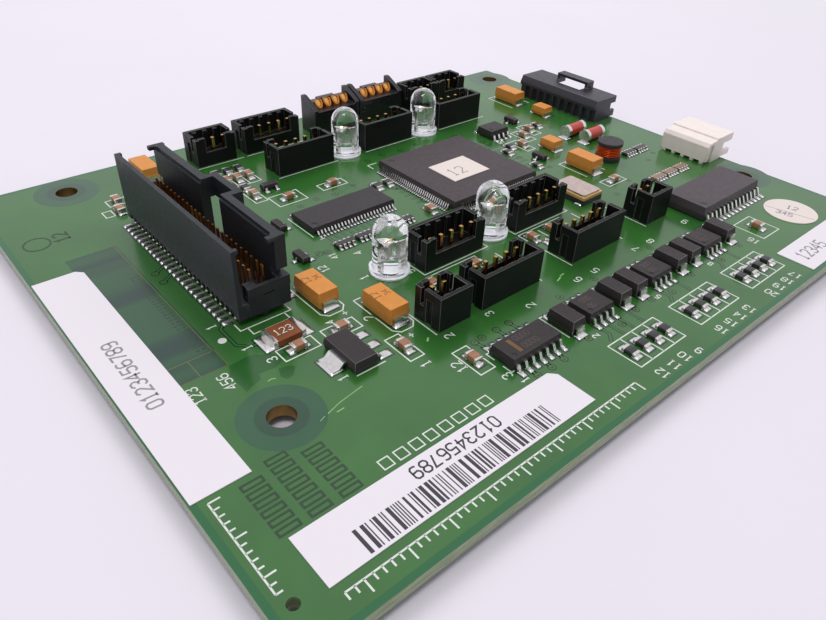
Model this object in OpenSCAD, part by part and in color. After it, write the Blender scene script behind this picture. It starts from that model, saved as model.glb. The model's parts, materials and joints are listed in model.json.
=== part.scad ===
// Populated printed circuit board with shrouded connectors, lamps and surface-mount parts.
// Origin: centre of the four mounting holes on the component face. +X runs along the front edge,
// +Y towards the far edge, +Z out of the component face. All sizes are in millimetres.
// Positions in this file are counted from the board's front left corner ("board coordinates").

/* [Board] */
// Length of the board along X
board_w = 117; // [115:0.5:130]
// Depth of the board along Y
board_d = 94.5; // [94:0.5:105]
// Thickness of the laminate
board_t = 1.6; // [0.8:0.1:3.2]
// Radius of the board's outer corners
board_corner_r = 0.6; // [0.3:0.1:1.5]
// Diameter of each plated mounting hole
mount_hole_d = 3.4; // [3:0.1:4]
// Wall of the plating in a mounting hole
plating_t = 0.3; // [0.1:0.05:0.5]
// Distance of the front left mounting hole from the left edge
mount_hole_x = 13.2; // [12:0.1:14]
// Distance of the front left mounting hole from the front edge
mount_hole_y = 23.9; // [23.2:0.1:24.6]
// Distance between mounting holes along X
mount_pitch_x = 99.5; // [98:0.5:100]
// Distance between mounting holes along Y
mount_pitch_y = 65.4; // [64:0.2:66]
// Diameter of the small tooling hole in the front corner
tooling_hole_d = 1.3; // [1:0.1:2]
// Thickness of the solder on each pad
pad_t = 0.05; // [0.03:0.01:0.1]
// Length of the through-hole legs below the board
tail_l = 1.2; // [0.8:0.1:2.5]
// Clearance between a leg and its plated hole, all round
leg_clearance = 0.15; // [0.1:0.05:0.2]

/* [Tall connector] */
// Number of contacts in each of the two rows
tall_count = 25; // [15:1:25]
// Distance between neighbouring contacts
tall_pitch = 1.27; // [1.2:0.01:1.27]
// Height of the side walls above the board
tall_h = 11; // [8:0.5:14]
// Height of the underside above the board
tall_standoff = 0.9; // [0.6:0.1:1.2]
// Top of the moulded floor above the board
tall_floor_z = 3; // [2.6:0.1:4]
// Thickness of the plain side wall
tall_thin_wall = 0.6; // [0.5:0.05:1]
// Thickness of the keyed side wall
tall_thick_wall = 1.35; // [1:0.05:1.5]
// Width of the mating cavity
tall_cavity_w = 5.25; // [5:0.05:5.5]
// Moulding beyond the last contact at each end
tall_end = 1.88; // [1.8:0.02:2.4]
// Height of the end blocks
tall_end_h = 5.15; // [4.5:0.05:6]
// Thickness of each end block
tall_end_t = 0.85; // [0.6:0.05:1]
// Length of the key slot in the thick wall
tall_key_l = 5.5; // [4:0.5:7]
// Height of the bridge round the key slot
tall_bridge_h = 3; // [2:0.5:4]
// Thickness of the bridge
tall_bridge_t = 1; // [0.8:0.1:1.2]
// Width and thickness of a contact blade
tall_blade = 0.4; // [0.3:0.05:0.5]
// Height of the contact tips above the board
tall_tip_z = 6.6; // [5:0.2:7.5]
// Distance between the two contact rows
tall_row_gap = 1.85; // [1.6:0.05:2]
// Reach of the solder feet beyond the thin wall
tall_foot_reach = 1.28; // [1:0.02:1.4]

/* [Windowed headers] */
// Distance between neighbouring pins
header_pitch = 2; // [1.9:0.02:2.04]
// Depth of the housing
header_d = 4.8; // [4.6:0.1:5.2]
// Height of the housing above the board
header_h = 5.1; // [4.5:0.1:6.5]
// Housing beyond the first and the last pin
header_end = 1.8; // [1.7:0.05:1.9]
// Wall thickness of the housing
header_wall = 0.6; // [0.5:0.05:0.7]
// Top of the housing's floor above the board
header_floor = 1.5; // [1:0.1:2]
// Top of the low wall in the window
header_sill = 2.5; // [1.8:0.1:3.4]
// Length of the corner posts' return beside the window
header_return = 1.9; // [1.6:0.1:2.2]
// Width of the latch slots in the end walls
header_slot_w = 0.65; // [0.5:0.05:0.8]
// Width of the ribs on the tall wall
header_rib_w = 0.7; // [0.5:0.05:0.9]
// Distance of the pin row from the window face
header_pin_y = 1.2; // [1.1:0.05:1.4]
// Side of the square pins
header_pin = 0.5; // [0.4:0.05:0.6]
// Height of the pin tips above the board
header_tip_z = 4.5; // [3.5:0.1:5.5]

/* [Round sockets] */
// Distance between neighbouring socket contacts
socket_pitch = 2; // [1.9:0.05:2]
// Housing beyond the middle of the first and the last contact
socket_end = 2.3; // [2:0.05:2.3]
// Depth of the housing
socket_d = 4.8; // [4.2:0.1:5]
// Height of the housing in front of the contacts
socket_front_h = 4.5; // [4:0.1:5]
// Height of the wall behind the contacts
socket_back_h = 5.4; // [5:0.1:6]
// Height of the ears at both ends
socket_ear_h = 6.8; // [6:0.1:8]
// Thickness of the ears
socket_ear_t = 0.9; // [0.7:0.1:1.1]
// Outer diameter of a round contact
socket_contact_d = 1.7; // [1.4:0.05:1.8]
// Bore of a round contact
socket_bore_d = 1.1; // [0.8:0.05:1.2]

/* [Side-entry connector] */
// Number of contacts
entry_count = 9; // [6:1:9]
// Distance between neighbouring contacts
entry_pitch = 2; // [1.9:0.05:2.05]
// Housing beyond the first and the last contact
entry_end = 2.5; // [2.2:0.1:2.8]
// Depth of the housing, from its back to its mouth
entry_d = 7.1; // [6.5:0.1:8]
// Top of the housing above the board
entry_h = 4.6; // [4.2:0.1:5.4]
// Wall of the shroud
entry_wall = 0.7; // [0.5:0.05:0.8]
// Length of the key slot in the top wall
entry_key_l = 6.8; // [5:0.2:8]
// Height of the bridge over the key slot
entry_bridge_h = 1.4; // [1:0.1:1.8]
// Distance from the board's right edge to the mouth
entry_overhang = 0.4; // [0:0.1:1]

/* [Power connector] */
// Number of pins
power_count = 4; // [2:1:4]
// Distance between neighbouring pins
power_pitch = 2; // [1.9:0.05:2.1]
// Housing beyond the first and the last pin
power_end = 1.9; // [1.7:0.05:2]
// Depth of the housing, from its back to its mouth
power_d = 8.6; // [7.6:0.1:9]
// Height of the housing above the board
power_h = 4.6; // [4.2:0.1:5.2]
// Wall of the shroud
power_wall = 0.6; // [0.5:0.05:0.8]
// Distance from the board's right edge to the mouth
power_overhang = 2.4; // [2:0.1:3]

/* [Lamps] */
// Diameter of the lens
lamp_d = 5; // [4.5:0.1:5.2]
// Diameter of the flange at the foot of the lens
lamp_flange_d = 5.9; // [5.6:0.1:6]
// Thickness of the flange
lamp_flange_t = 1; // [0.8:0.1:1.5]
// Height of the lens above the board
lamp_h = 8.8; // [8:0.1:9.5]
// Side of the square legs
lamp_leg = 0.5; // [0.4:0.05:0.6]
// Distance between the two legs
lamp_leg_gap = 2.54; // [2.3:0.02:2.7]

/* [Processor] */
// Side of the square moulded body
cpu_body = 20; // [18.5:0.5:20]
// Height of the top above the board
cpu_top = 1.6; // [1.4:0.1:1.8]
// Number of leads on each side
cpu_leads = 36; // [20:1:36]
// Distance between neighbouring leads
cpu_pitch = 0.5; // [0.45:0.01:0.5]
// Width of a lead
cpu_lead_w = 0.22; // [0.15:0.01:0.27]

/* [Memory chip] */
// Length of the moulded body
mem_l = 16; // [15.8:0.1:16.6]
// Width of the moulded body
mem_w = 6.1; // [5.6:0.1:6.4]
// Height of the top above the board
mem_top = 1.15; // [1:0.05:1.4]
// Number of leads on each side
mem_leads = 24; // [16:1:25]
// Distance between neighbouring leads
mem_pitch = 0.635; // [0.6:0.005:0.64]
// Width of a lead
mem_lead_w = 0.25; // [0.2:0.01:0.3]

/* [Small-outline chips] */
// Distance between neighbouring leads
so_pitch = 1.27; // [1.2:0.01:1.27]
// Width of a narrow body
so_w = 3.9; // [3.7:0.1:4.1]
// Height of the top of a narrow body
so_top = 1.7; // [1.5:0.05:1.8]
// Width of a lead
so_lead_w = 0.42; // [0.35:0.01:0.5]
// Body beyond the middle of the last lead
so_end = 0.55; // [0.5:0.01:0.6]
// Width of the wide driver's body
wide_w = 7.5; // [7:0.1:7.6]
// Height of the top of the wide driver's body
wide_top = 2.5; // [2.3:0.05:2.65]

/* [Regulator] */
// Length of the regulator's body along its row of leads
reg_l = 6.5; // [6.2:0.1:6.8]
// Width of the regulator's body
reg_w = 3.5; // [3.3:0.1:3.7]
// Height of the regulator's top
reg_top = 1.7; // [1.5:0.05:1.8]
// Width of the regulator's tab
reg_tab_w = 3; // [2.9:0.05:3.1]

/* [Power diodes] */
// Length of a power diode's body
diode_l = 4.3; // [4:0.1:4.6]
// Width of a power diode's body
diode_w = 2.6; // [2.3:0.1:2.9]
// Height of a power diode's top
diode_top = 2.2; // [1.9:0.05:2.4]
// Distance between a driver chip's middle and the diodes beside it
diode_offset = 5.05; // [4.8:0.05:5.2]

/* [Capacitors] */
// Length of a large tantalum capacitor
tant_l = 6; // [5.7:0.1:6.2]
// Width of a large tantalum capacitor
tant_w = 3.2; // [3:0.1:3.3]
// Height of a large tantalum capacitor
tant_h = 2.6; // [2.3:0.1:2.9]
// Length of a small tantalum capacitor
tant_small_l = 3.5; // [3.3:0.1:3.8]
// Width of a small tantalum capacitor
tant_small_w = 2.8; // [2.6:0.1:3]
// Height of a small tantalum capacitor
tant_small_h = 1.9; // [1.7:0.1:2.1]
// Thickness of the folded terminals
terminal_t = 0.15; // [0.1:0.01:0.2]
// Length of a chip capacitor or resistor
chip_l = 2; // [1.8:0.05:2.2]
// Width of a chip capacitor or resistor
chip_w = 1.25; // [1.1:0.05:1.35]
// Height of a chip capacitor
cap_h = 0.9; // [0.6:0.05:1.2]
// Height of a chip resistor
res_h = 0.55; // [0.4:0.05:0.7]
// Length of the metal end of a chip part
chip_end = 0.42; // [0.3:0.02:0.5]

/* [Resistor groups] */
// Distance between neighbouring resistors of a group
group_pitch = 2.45; // [2.2:0.05:2.6]
// Length of a resistor array
array_l = 3.2; // [3:0.1:3.4]
// Width of a resistor array
array_w = 1.6; // [1.4:0.05:1.8]

/* [Fuse, oscillator and coil] */
// Length of the resettable fuse
fuse_l = 4.6; // [4.3:0.1:4.8]
// Width of the resettable fuse
fuse_w = 3.2; // [3:0.1:3.4]
// Height of the resettable fuse
fuse_h = 1; // [0.7:0.1:1.3]
// Length of the oscillator
osc_l = 7; // [6.6:0.1:7]
// Width of the oscillator
osc_w = 5; // [4.6:0.1:5]
// Height of the oscillator's top
osc_top = 1.8; // [1.4:0.1:2]
// Thickness of the oscillator's metal lid
osc_lid_t = 0.35; // [0.25:0.05:0.5]
// Diameter of the coil's flanges
coil_d = 4.8; // [4.4:0.1:5]
// Height of the coil
coil_h = 3.6; // [3:0.1:4]
// Diameter of the coil's wire
coil_wire_d = 0.36; // [0.3:0.02:0.44]

/* [Glass diodes] */
// Length of a glass diode
glass_l = 5.2; // [4.8:0.1:5.4]
// Diameter of a glass diode's end caps
glass_d = 2.5; // [2.2:0.1:2.6]
// Length of each end cap
glass_cap_l = 0.8; // [0.5:0.05:1]

/* [Labels] */
// Thickness of the paper labels
label_t = 0.12; // [0.08:0.02:0.2]
// Diameter of the round sticker
sticker_d = 8.6; // [7:0.1:9]

/* [Hidden] */
fine = 48;
cut = 0.1;
datum_x = mount_hole_x + mount_pitch_x / 2;
datum_y = mount_hole_y + mount_pitch_y / 2;

// Windowed headers: name, left end, front face, pins, and whether the window faces the front edge.
column_pitch = 18.9;
column_x = 44;
front_row_y = 24;
second_row_y = 35.3;
third_row_y = 73.5;
far_row_y = board_d - 9.6;
right_far_x = board_w - 34.3;
HEADERS = [
    ["header_front_a", column_x - 7.7, front_row_y, 2, false],
    ["header_front_b", column_x, front_row_y, 5, false],
    ["header_front_c", column_x + column_pitch, front_row_y, 5, false],
    ["header_front_d", column_x + 2 * column_pitch, front_row_y, 2, false],
    ["header_second_a", column_x, second_row_y, 5, true],
    ["header_second_b", column_x + column_pitch, second_row_y, 5, true],
    ["header_third_a", column_x, third_row_y, 5, false],
    ["header_third_b", column_x + column_pitch - 0.2, third_row_y, 5, false],
    ["header_third_c", column_x + 2 * column_pitch - 0.4, third_row_y, 5, false],
    ["header_far_a", column_x - 9.5, far_row_y, 3, true],
    ["header_far_b", column_x, far_row_y, 5, true],
    ["header_far_c", right_far_x, far_row_y - 1.2, 3, true],
    ["header_far_d", right_far_x + 8, far_row_y - 1.2, 3, true],
];

// ---- Layout ----

MOUNT_HOLES = [for (x = [0, mount_pitch_x], y = [0, mount_pitch_y]) [mount_hole_x + x, mount_hole_y + y]];
tooling_hole = [2.3, 4.8];

// Round sockets: left end of each housing.
socket_len = 3 * socket_pitch + 2 * socket_end;
SOCKET_X = [59.4, 59.4 + socket_len + 0.4];
socket_pin_y = 2.2;
SOCKET_CONTACTS = [
    for (x = SOCKET_X, i = [0:3]) [x + socket_end + i * socket_pitch, far_row_y + socket_pin_y]
];

// Lamps.
LAMPS = [[40.5, 39], [59.5, 37.8], [59.2, 75], [77.8, 74.4]];

// Tall connector: the middle between its rows, and its ends along Y.
tall_x = 21.3;
tall_y0 = 40.16;
tall_len = (tall_count - 1) * tall_pitch + 2 * tall_end;
tall_left = tall_x - tall_row_gap / 2 - 2.925;
tall_inner = tall_left + tall_thin_wall;
tall_right = tall_inner + tall_cavity_w;
tall_outer = tall_right + tall_thick_wall;
tall_lead_z = 1.55;

// Side-entry and power connectors, along the right edge.
entry_y = 56.6;
entry_len = (entry_count - 1) * entry_pitch + 2 * entry_end;
entry_mouth = board_w + entry_overhang;
entry_back = entry_mouth - entry_d;
entry_leg_x = entry_back + 1.6;
power_y = 30.7;
power_len = (power_count - 1) * power_pitch + 2 * power_end;
power_mouth = board_w + power_overhang;
power_back = power_mouth - power_d;
power_leg_x = power_back + 1.5;

cpu_at = [70.05, 56.1];
mem_at = [45.4, 56.6];
logic_at = [42.64, 15.1];
driver_pitch = 13.82;
DRIVERS = [for (i = [0:2]) [55.3 + i * driver_pitch, 15.1]];
other_so8 = [88.5, 65];
wide_at = [board_w - 18.1, 22.6];
fuse_at = [20.8, tall_y0 - 4.66];
reg_at = [25, fuse_at[1] - 8.15];
DIODES = [for (d = DRIVERS, s = [-1, 1]) [d[0] + s * diode_offset, d[1]]];

// Capacitors and resistors: middle, and turn about Z (0 = long side along X).
TANTALUMS = [
    [28.7, 39.95, 90], [33.8, 31.65, 90], [91, 44, 90], [board_w - 11.3, 76.4, 90], [25.9, 87.3, 90]
];
SMALL_TANTALUMS = [[93.1, 53.6, 90], [board_w - 11.5, 66.7, 90]];
row_gap_y = front_row_y + 8.4;
beyond_y = tall_y0 + tall_len + 3.4;
CERAMICS = [
    [20.9, fuse_at[1] - 3.1, 0], [27.25, fuse_at[1] - 3.2, 0], [31.1, 24.6, 90], [36.1, 17.6, 90],
    [41, 66, 0], [49.7, 65.9, 0], [95.9, 12.5, 90], [91, 37.2, 0],
    [column_x - 1.2, row_gap_y, 90], [column_x + 7, row_gap_y, 0],
    [column_x + column_pitch + 0.7, row_gap_y, 90], [column_x + column_pitch + 5, row_gap_y, 90],
    [35.6, 77, 90], [37.7, 77, 90], [39.9, 77, 90], [36.9, 70, 90],
    [17.5, beyond_y, 90], [18.3, beyond_y + 3.4, 90],
    [65, 42.4, 0], [57, 48.6, 90], [92.9, 60.6, 90], [96.2, 62.1, 90], [89.2, 57.6, 90]
];
GROUPS = [for (i = [0:2]) [56.1 + i * 13.6, 6.5]];
RESISTORS = concat(
    [for (g = GROUPS, i = [-1.5:1:1.5]) [g[0] + i * group_pitch, g[1], 90]],
    [[55.2, 60.4, 90], [57.5, 60.4, 90], [column_x + column_pitch + 2.6, front_row_y + 6.2, 0]],
    [[35.6, 80.6, 90], [37.7, 80.6, 90], [39.9, 80.6, 90], [37, 73.2, 90]],
    [[84.4, 49.6, 90], [84.2, 56.8, 90], [99.2, 62.6, 90], [86.6, 58.4, 90]]
);
ARRAYS = concat(
    [for (i = [0:3]) [39.6 + i * 3.9, 48.5, 0]],
    [for (i = [0:2]) [board_w - 18.4 + i * 3.6, 32.8, 0]],
    [for (i = [0:1]) [board_w - 13.6 + i * 3.6, 42.6, 0]]
);
TRANSISTORS = [[32.2, 48.9, 90], [34.4, 58.4, 90], [40.3, 71, 0], [87.4, 51.6, 90], [96.4, 67.3, 90]];
osc_at = [81, 37.8];
coil_at = [board_w - 18.9, 43.8];
GLASS_DIODES = [[board_w - 15.2, 55.2], [board_w - 14, 51.4]];

// ---- Helpers ----

module on_board() {
    translate([-datum_x, -datum_y, 0]) children();
}

// Moves children to a place [x, y, turn] on the component face.
module at(place, z = 0) {
    translate([place[0], place[1], z]) rotate([0, 0, len(place) > 2 ? place[2] : 0]) children();
}

function unit(v) = v / norm(v);
function left_normal(a, b) = let (u = unit(b - a)) [-u[1], u[0]];

// Point i of a path, moved sideways by s with mitred corners.
function mitred(p, i, s) =
    let (last = len(p) - 1,
         before = left_normal(p[max(i - 1, 0)], p[max(i, 1)]),
         after = left_normal(p[min(i, last - 1)], p[min(i + 1, last)]),
         m = unit(before + after))
    p[i] + m * s / (m * before);

// Outline of a strip of thickness t along a path.
function strip(p, t) = concat(
    [for (i = [0:len(p) - 1]) mitred(p, i, t / 2)],
    [for (i = [len(p) - 1:-1:0]) mitred(p, i, -t / 2)]
);

// A strip of metal bent along a path in the XZ plane, w wide along Y.
module bent_strip(path, t, w) {
    rotate([90, 0, 0]) translate([0, 0, -w / 2]) linear_extrude(w) polygon(strip(path, t));
}

// Path of a gull-wing lead that leaves a body at height z and stands on the pads.
function gull_path(z, t, shoulder, reach, foot) = [
    [0, z], [shoulder, z],
    [reach - foot, pad_t + t / 2], [reach, pad_t + t / 2]
];

// Outline of a moulded side: draft above and below a flat band where the leads leave.
function moulded(half, z0, z1, band0, band1, draft) = [
    [-half + draft, z0], [half - draft, z0], [half, band0], [half, band1],
    [half - draft, z1], [-half + draft, z1], [-half, band1], [-half, band0]
];

// Moulded chip body, l along X and w along Y, drafted on all four sides.
module moulded_body(l, w, z0, z1, band, band_t, draft) {
    lo = band - band_t / 2;
    hi = band + band_t / 2;
    intersection() {
        rotate([90, 0, 0]) translate([0, 0, -w / 2])
            linear_extrude(w) polygon(moulded(l / 2, z0, z1, lo, hi, draft));
        rotate([90, 0, 90]) translate([0, 0, -l / 2])
            linear_extrude(l) polygon(moulded(w / 2, z0, z1, lo, hi, draft));
    }
}

// Places a row of children along X, centred, n of them.
module row(n, pitch) {
    for (i = [0:n - 1]) translate([(i - (n - 1) / 2) * pitch, 0, 0]) children();
}

// A row of leads on both long sides of a body w wide.
module lead_rows(n, pitch, w, path, t, lead_w) {
    for (s = [0, 180]) rotate([0, 0, s]) row(n, pitch)
        translate([0, -w / 2, 0]) rotate([0, 0, -90]) bent_strip(path, t, lead_w);
}

// Pads under both rows of leads.
module pad_rows(n, pitch, inner, outer, w) {
    for (s = [0, 180]) rotate([0, 0, s]) row(n, pitch)
        translate([-w / 2, -outer, 0]) cube([w, outer - inner, pad_t]);
}

// A pair of pads for a part along X.
module pad_pair(inner, outer, w) {
    for (s = [0, 180]) rotate([0, 0, s]) translate([inner, -w / 2, 0]) cube([outer - inner, w, pad_t]);
}

// ---- Board ----

LEG_HOLES = concat(
    [for (h = HEADERS, i = [0:h[3] - 1]) header_pin_at(h, i)],
    SOCKET_CONTACTS,
    [for (l = LAMPS, s = [-1, 1]) [l[0] + s * lamp_leg_gap / 2, l[1]]],
    [for (i = [0:entry_count - 1]) [entry_leg_x, entry_y + entry_end + i * entry_pitch]],
    [for (i = [0:power_count - 1]) [power_leg_x, power_y + power_end + i * power_pitch]]
);
leg_hole_d = header_pin * sqrt(2) + 2 * leg_clearance;

module rounded_plate(w, d, r) {
    union() {
        translate([r, 0]) square([w - 2 * r, d]);
        translate([0, r]) square([w, d - 2 * r]);
        for (x = [r, w - r], y = [r, d - r]) translate([x, y]) circle(r, $fn = fine);
    }
}

module board() {
    color("darkgreen") on_board() difference() {
        translate([0, 0, -board_t]) linear_extrude(board_t)
            rounded_plate(board_w, board_d, board_corner_r);
        for (h = MOUNT_HOLES) translate([h[0], h[1], -board_t - cut])
            cylinder(d = mount_hole_d + 2 * plating_t, h = board_t + 2 * cut, $fn = fine);
        translate([tooling_hole[0], tooling_hole[1], -board_t - cut])
            cylinder(d = tooling_hole_d, h = board_t + 2 * cut, $fn = fine);
        for (h = LEG_HOLES) translate([h[0], h[1], -board_t - cut])
            cylinder(d = leg_hole_d, h = board_t + 2 * cut, $fn = 24);
        for (y = tall_peg_y) translate([tall_x, y, -board_t - cut])
            cylinder(d = tall_peg_d, h = board_t + 2 * cut, $fn = 24);
    }
}

module hole_plating() {
    color("silver") on_board() for (h = MOUNT_HOLES) translate([h[0], h[1], -board_t])
        difference() {
            cylinder(d = mount_hole_d + 2 * plating_t, h = board_t, $fn = fine);
            translate([0, 0, -cut]) cylinder(d = mount_hole_d, h = board_t + 2 * cut, $fn = fine);
        }
}

// Solder: the thin pads on the component face and the cones round the legs on the underside.
cone_r = 0.85;
cone_h = 0.7;

module solder_cone(h) {
    translate([h[0], h[1], -board_t - cone_h]) difference() {
        cylinder(r1 = header_pin * 0.8, r2 = cone_r, h = cone_h, $fn = 24);
        translate([-header_pin / 2, -header_pin / 2, -cut])
            cube([header_pin, header_pin, cone_h + 2 * cut]);
    }
}

module solder() {
    color("gainsboro") on_board() {
        for (h = LEG_HOLES) solder_cone(h);
        at([tall_x, tall_y0 + tall_len / 2, 90])
            pad_rows(tall_count, tall_pitch, tall_foot_x - 0.9, tall_foot_x + 0.25, 0.75);
        for (turn = [0, 90]) at([cpu_at[0], cpu_at[1], turn])
            pad_rows(cpu_leads, cpu_pitch, cpu_body / 2 + 0.4, cpu_body / 2 + 1.35, cpu_lead_w + 0.06);
        at(mem_at) pad_rows(mem_leads, mem_pitch, mem_w / 2 + 0.4, mem_w / 2 + 1.4, mem_lead_w + 0.1);
        at(logic_at) pad_rows(7, so_pitch, so_w / 2 + 0.3, so_w / 2 + 1.5, so_lead_w + 0.18);
        for (p = concat(DRIVERS, [other_so8])) at(p)
            pad_rows(4, so_pitch, so_w / 2 + 0.3, so_w / 2 + 1.5, so_lead_w + 0.18);
        at(wide_at) pad_rows(wide_leads, so_pitch, wide_w / 2 + 0.5, wide_w / 2 + 1.9, so_lead_w + 0.18);
        at([reg_at[0], reg_at[1], 0]) {
            translate([-reg_w / 2 - 2.2, -reg_tab_w / 2 - 0.1, 0]) cube([2, reg_tab_w + 0.2, pad_t]);
            for (i = [-1:1]) translate([reg_w / 2 + 0.6, i * reg_pitch - 0.55, 0]) cube([1.9, 1.1, pad_t]);
        }
        for (p = DIODES) at([p[0], p[1], 90]) pad_pair(diode_l / 2 - 0.3, diode_l / 2 + 1, 1.8);
        for (p = TANTALUMS) at(p) pad_pair(tant_l / 2 - 0.9, tant_l / 2 + 0.7, 2.5);
        for (p = SMALL_TANTALUMS) at(p) pad_pair(tant_small_l / 2 - 0.8, tant_small_l / 2 + 0.6, 2.4);
        for (p = concat(CERAMICS, RESISTORS)) at(p) pad_pair(chip_l / 2 - chip_end, chip_l / 2 + 0.5, chip_w);
        for (p = ARRAYS) at(p) pad_rows(4, array_pitch, array_w / 2 - 0.3, array_w / 2 + 0.45, 0.5);
        for (p = TRANSISTORS) at(p) transistor_pads();
        at(fuse_at) pad_pair(fuse_l / 2 - 0.9, fuse_l / 2 + 1.1, fuse_w);
        at([osc_at[0], osc_at[1], 90]) for (x = [-1, 1], y = [-1, 1])
            translate([x * 2.54 - 0.7, y * 1.9 - 0.9, 0]) cube([1.4, 1.8, pad_t]);
        at(coil_at) pad_pair(coil_d / 2 - 1, coil_d / 2 + 0.4, 2);
        for (p = GLASS_DIODES) at(p) pad_pair(glass_l / 2 - glass_cap_l, glass_l / 2 + 0.7, 2.2);
    }
}

// ---- Tall connector ----

tall_foot_x = tall_x - tall_left + tall_foot_reach;
tall_peg_d = 1.4;
tall_peg_y = [tall_y0 + 0.95, tall_y0 + tall_len - 0.95];
tall_mid_y = tall_y0 + tall_len / 2;
tall_lead_t = 0.25;
tall_foot_l = 1.75;
tall_hook = 0.9;
tall_thin_hook = 0.35;
tall_hook_h = 0.6;
tall_band_h = 1.4;
tall_band_t = 0.5;
tall_band_out = 0.15;
tall_stub_w = 1.35;
tall_stub_l = 1.55;
tall_notch_h = 1.1;
tall_rim = 0.25;
tall_rim_h = 0.6;

// One contact: blade in the cavity, bend under the floor and flat foot running out under the wall.
module tall_contact() {
    start = tall_row_gap / 2;
    foot_z = pad_t + tall_lead_t / 2;
    heel_x = tall_foot_x - tall_foot_l;
    path = [
        [start, tall_tip_z], [start, tall_lead_z],
        [heel_x - 0.35, tall_lead_z], [heel_x - 0.1, tall_lead_z - 0.3],
        [heel_x, foot_z + 0.2], [heel_x + 0.2, foot_z], [tall_foot_x, foot_z]
    ];
    bent_strip(path, tall_lead_t, tall_blade);
}

module tall_contacts_at() {
    for (i = [0:tall_count - 1], s = [0, 180])
        translate([tall_x, tall_y0 + tall_end + i * tall_pitch, 0]) rotate([0, 0, s]) tall_contact();
}

module tall_connector_contacts() {
    color("goldenrod") on_board() tall_contacts_at();
}

// The end block with its two stubs, hooks of both walls, and locating peg; drawn for the near end.
module tall_end_form() {
    block_x0 = tall_left + 1.5;
    block_x1 = tall_outer + 0.3;
    translate([block_x0, 0, tall_standoff])
        cube([block_x1 - block_x0, tall_end_t, tall_end_h - tall_band_h - tall_standoff]);
    translate([block_x0, -tall_band_out, tall_end_h - tall_band_h])
        cube([block_x1 - block_x0, tall_band_t, tall_band_h]);
    for (x = [block_x0 + 0.1, block_x1 - tall_stub_w])
        translate([x, 0, tall_standoff]) cube([tall_stub_w, tall_stub_l, tall_end_h - tall_standoff]);
    translate([tall_left, 0.1, tall_h - tall_hook_h])
        cube([tall_thin_wall + tall_thin_hook, 0.6, tall_hook_h]);
    translate([tall_right - tall_hook, 0.1, tall_h - tall_hook_h])
        cube([tall_hook + tall_thick_wall, 0.7, tall_hook_h]);
    translate([tall_outer - cut, 0.1, tall_end_h + tall_notch_h])
        cube([0.2 + cut, 0.7, tall_h - tall_end_h - tall_notch_h]);
    translate([tall_x, 0.95, -board_t]) cylinder(d = tall_peg_d, h = board_t + tall_standoff + cut, $fn = 24);
}

module tall_connector_housing() {
    key_y0 = tall_mid_y - tall_key_l / 2 - 0.5;
    key_y1 = tall_mid_y + tall_key_l / 2 - 0.5;
    bridge_x = tall_outer + 0.75;
    color("#1c1e22") on_board() difference() {
        union() {
            translate([tall_left, tall_y0 + 0.1, tall_standoff])
                cube([tall_outer - tall_left, tall_len - 0.2, tall_floor_z - tall_standoff]);
            translate([tall_left, tall_y0 + 0.1, tall_standoff])
                cube([tall_thin_wall, tall_len - 0.2, tall_h - tall_standoff]);
            difference() {
                translate([tall_right, tall_y0 + 0.1, tall_standoff])
                    cube([tall_thick_wall, tall_len - 0.2, tall_h - tall_standoff]);
                translate([tall_right - cut, tall_y0 + 1.2, tall_h - tall_rim_h])
                    cube([tall_rim + cut, tall_len - 2.4, tall_rim_h + cut]);
                translate([tall_right - cut, key_y0, tall_floor_z])
                    cube([tall_thick_wall + 2 * cut, tall_key_l, tall_h]);
            }
            for (y = [key_y0 - tall_bridge_t, key_y1])
                translate([tall_outer - cut, y, tall_h - tall_bridge_h])
                    cube([bridge_x - tall_outer + tall_bridge_t + cut, tall_bridge_t, tall_bridge_h]);
            translate([bridge_x, key_y0 - tall_bridge_t, tall_h - tall_bridge_h])
                cube([tall_bridge_t, tall_key_l + 2 * tall_bridge_t, tall_bridge_h]);
            for (y = [key_y0 - 0.5, key_y1])
                translate([tall_right, y, tall_standoff])
                    cube([tall_thick_wall, 0.5, tall_h * 0.62 - tall_standoff]);
            translate([0, tall_y0, 0]) tall_end_form();
            translate([0, 2 * tall_mid_y - tall_y0, 0]) mirror([0, 1, 0]) tall_end_form();
        }
        for (y = [tall_y0 - cut, tall_y0 + tall_len - 0.3])
            translate([tall_x - 0.15, y, tall_end_h - tall_band_h - 0.35]) cube([1.5, 0.3 + cut, 0.25]);
        for (y = [tall_y0 - cut, tall_y0 + tall_len - tall_stub_l])
            translate([tall_right - cut, y, tall_end_h])
                cube([tall_thick_wall + 2 * cut, tall_stub_l + cut, tall_notch_h]);
        for (i = [0:tall_count - 1], s = [0, 180])
            translate([tall_x, tall_y0 + tall_end + i * tall_pitch, 0]) rotate([0, 0, s]) {
                translate([tall_row_gap / 2 - tall_lead_t / 2, -tall_blade / 2, tall_comb_z - tall_lead_t])
                    cube([tall_lead_t, tall_blade, tall_h]);
                translate([tall_row_gap / 2, -tall_comb_w / 2, tall_standoff - cut])
                    cube([tall_comb_reach, tall_comb_w, tall_comb_z - tall_standoff + cut]);
            }
    }
}
tall_comb_w = 0.8;
tall_comb_z = tall_lead_z + tall_lead_t / 2;
tall_comb_reach = 5;

// ---- Windowed headers ----

function header_len(n) = (n - 1) * header_pitch + 2 * header_end;
function header_pin_at(h, i) = [
    h[1] + header_end + i * header_pitch,
    h[2] + (h[4] ? header_pin_y : header_d - header_pin_y)
];

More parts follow.
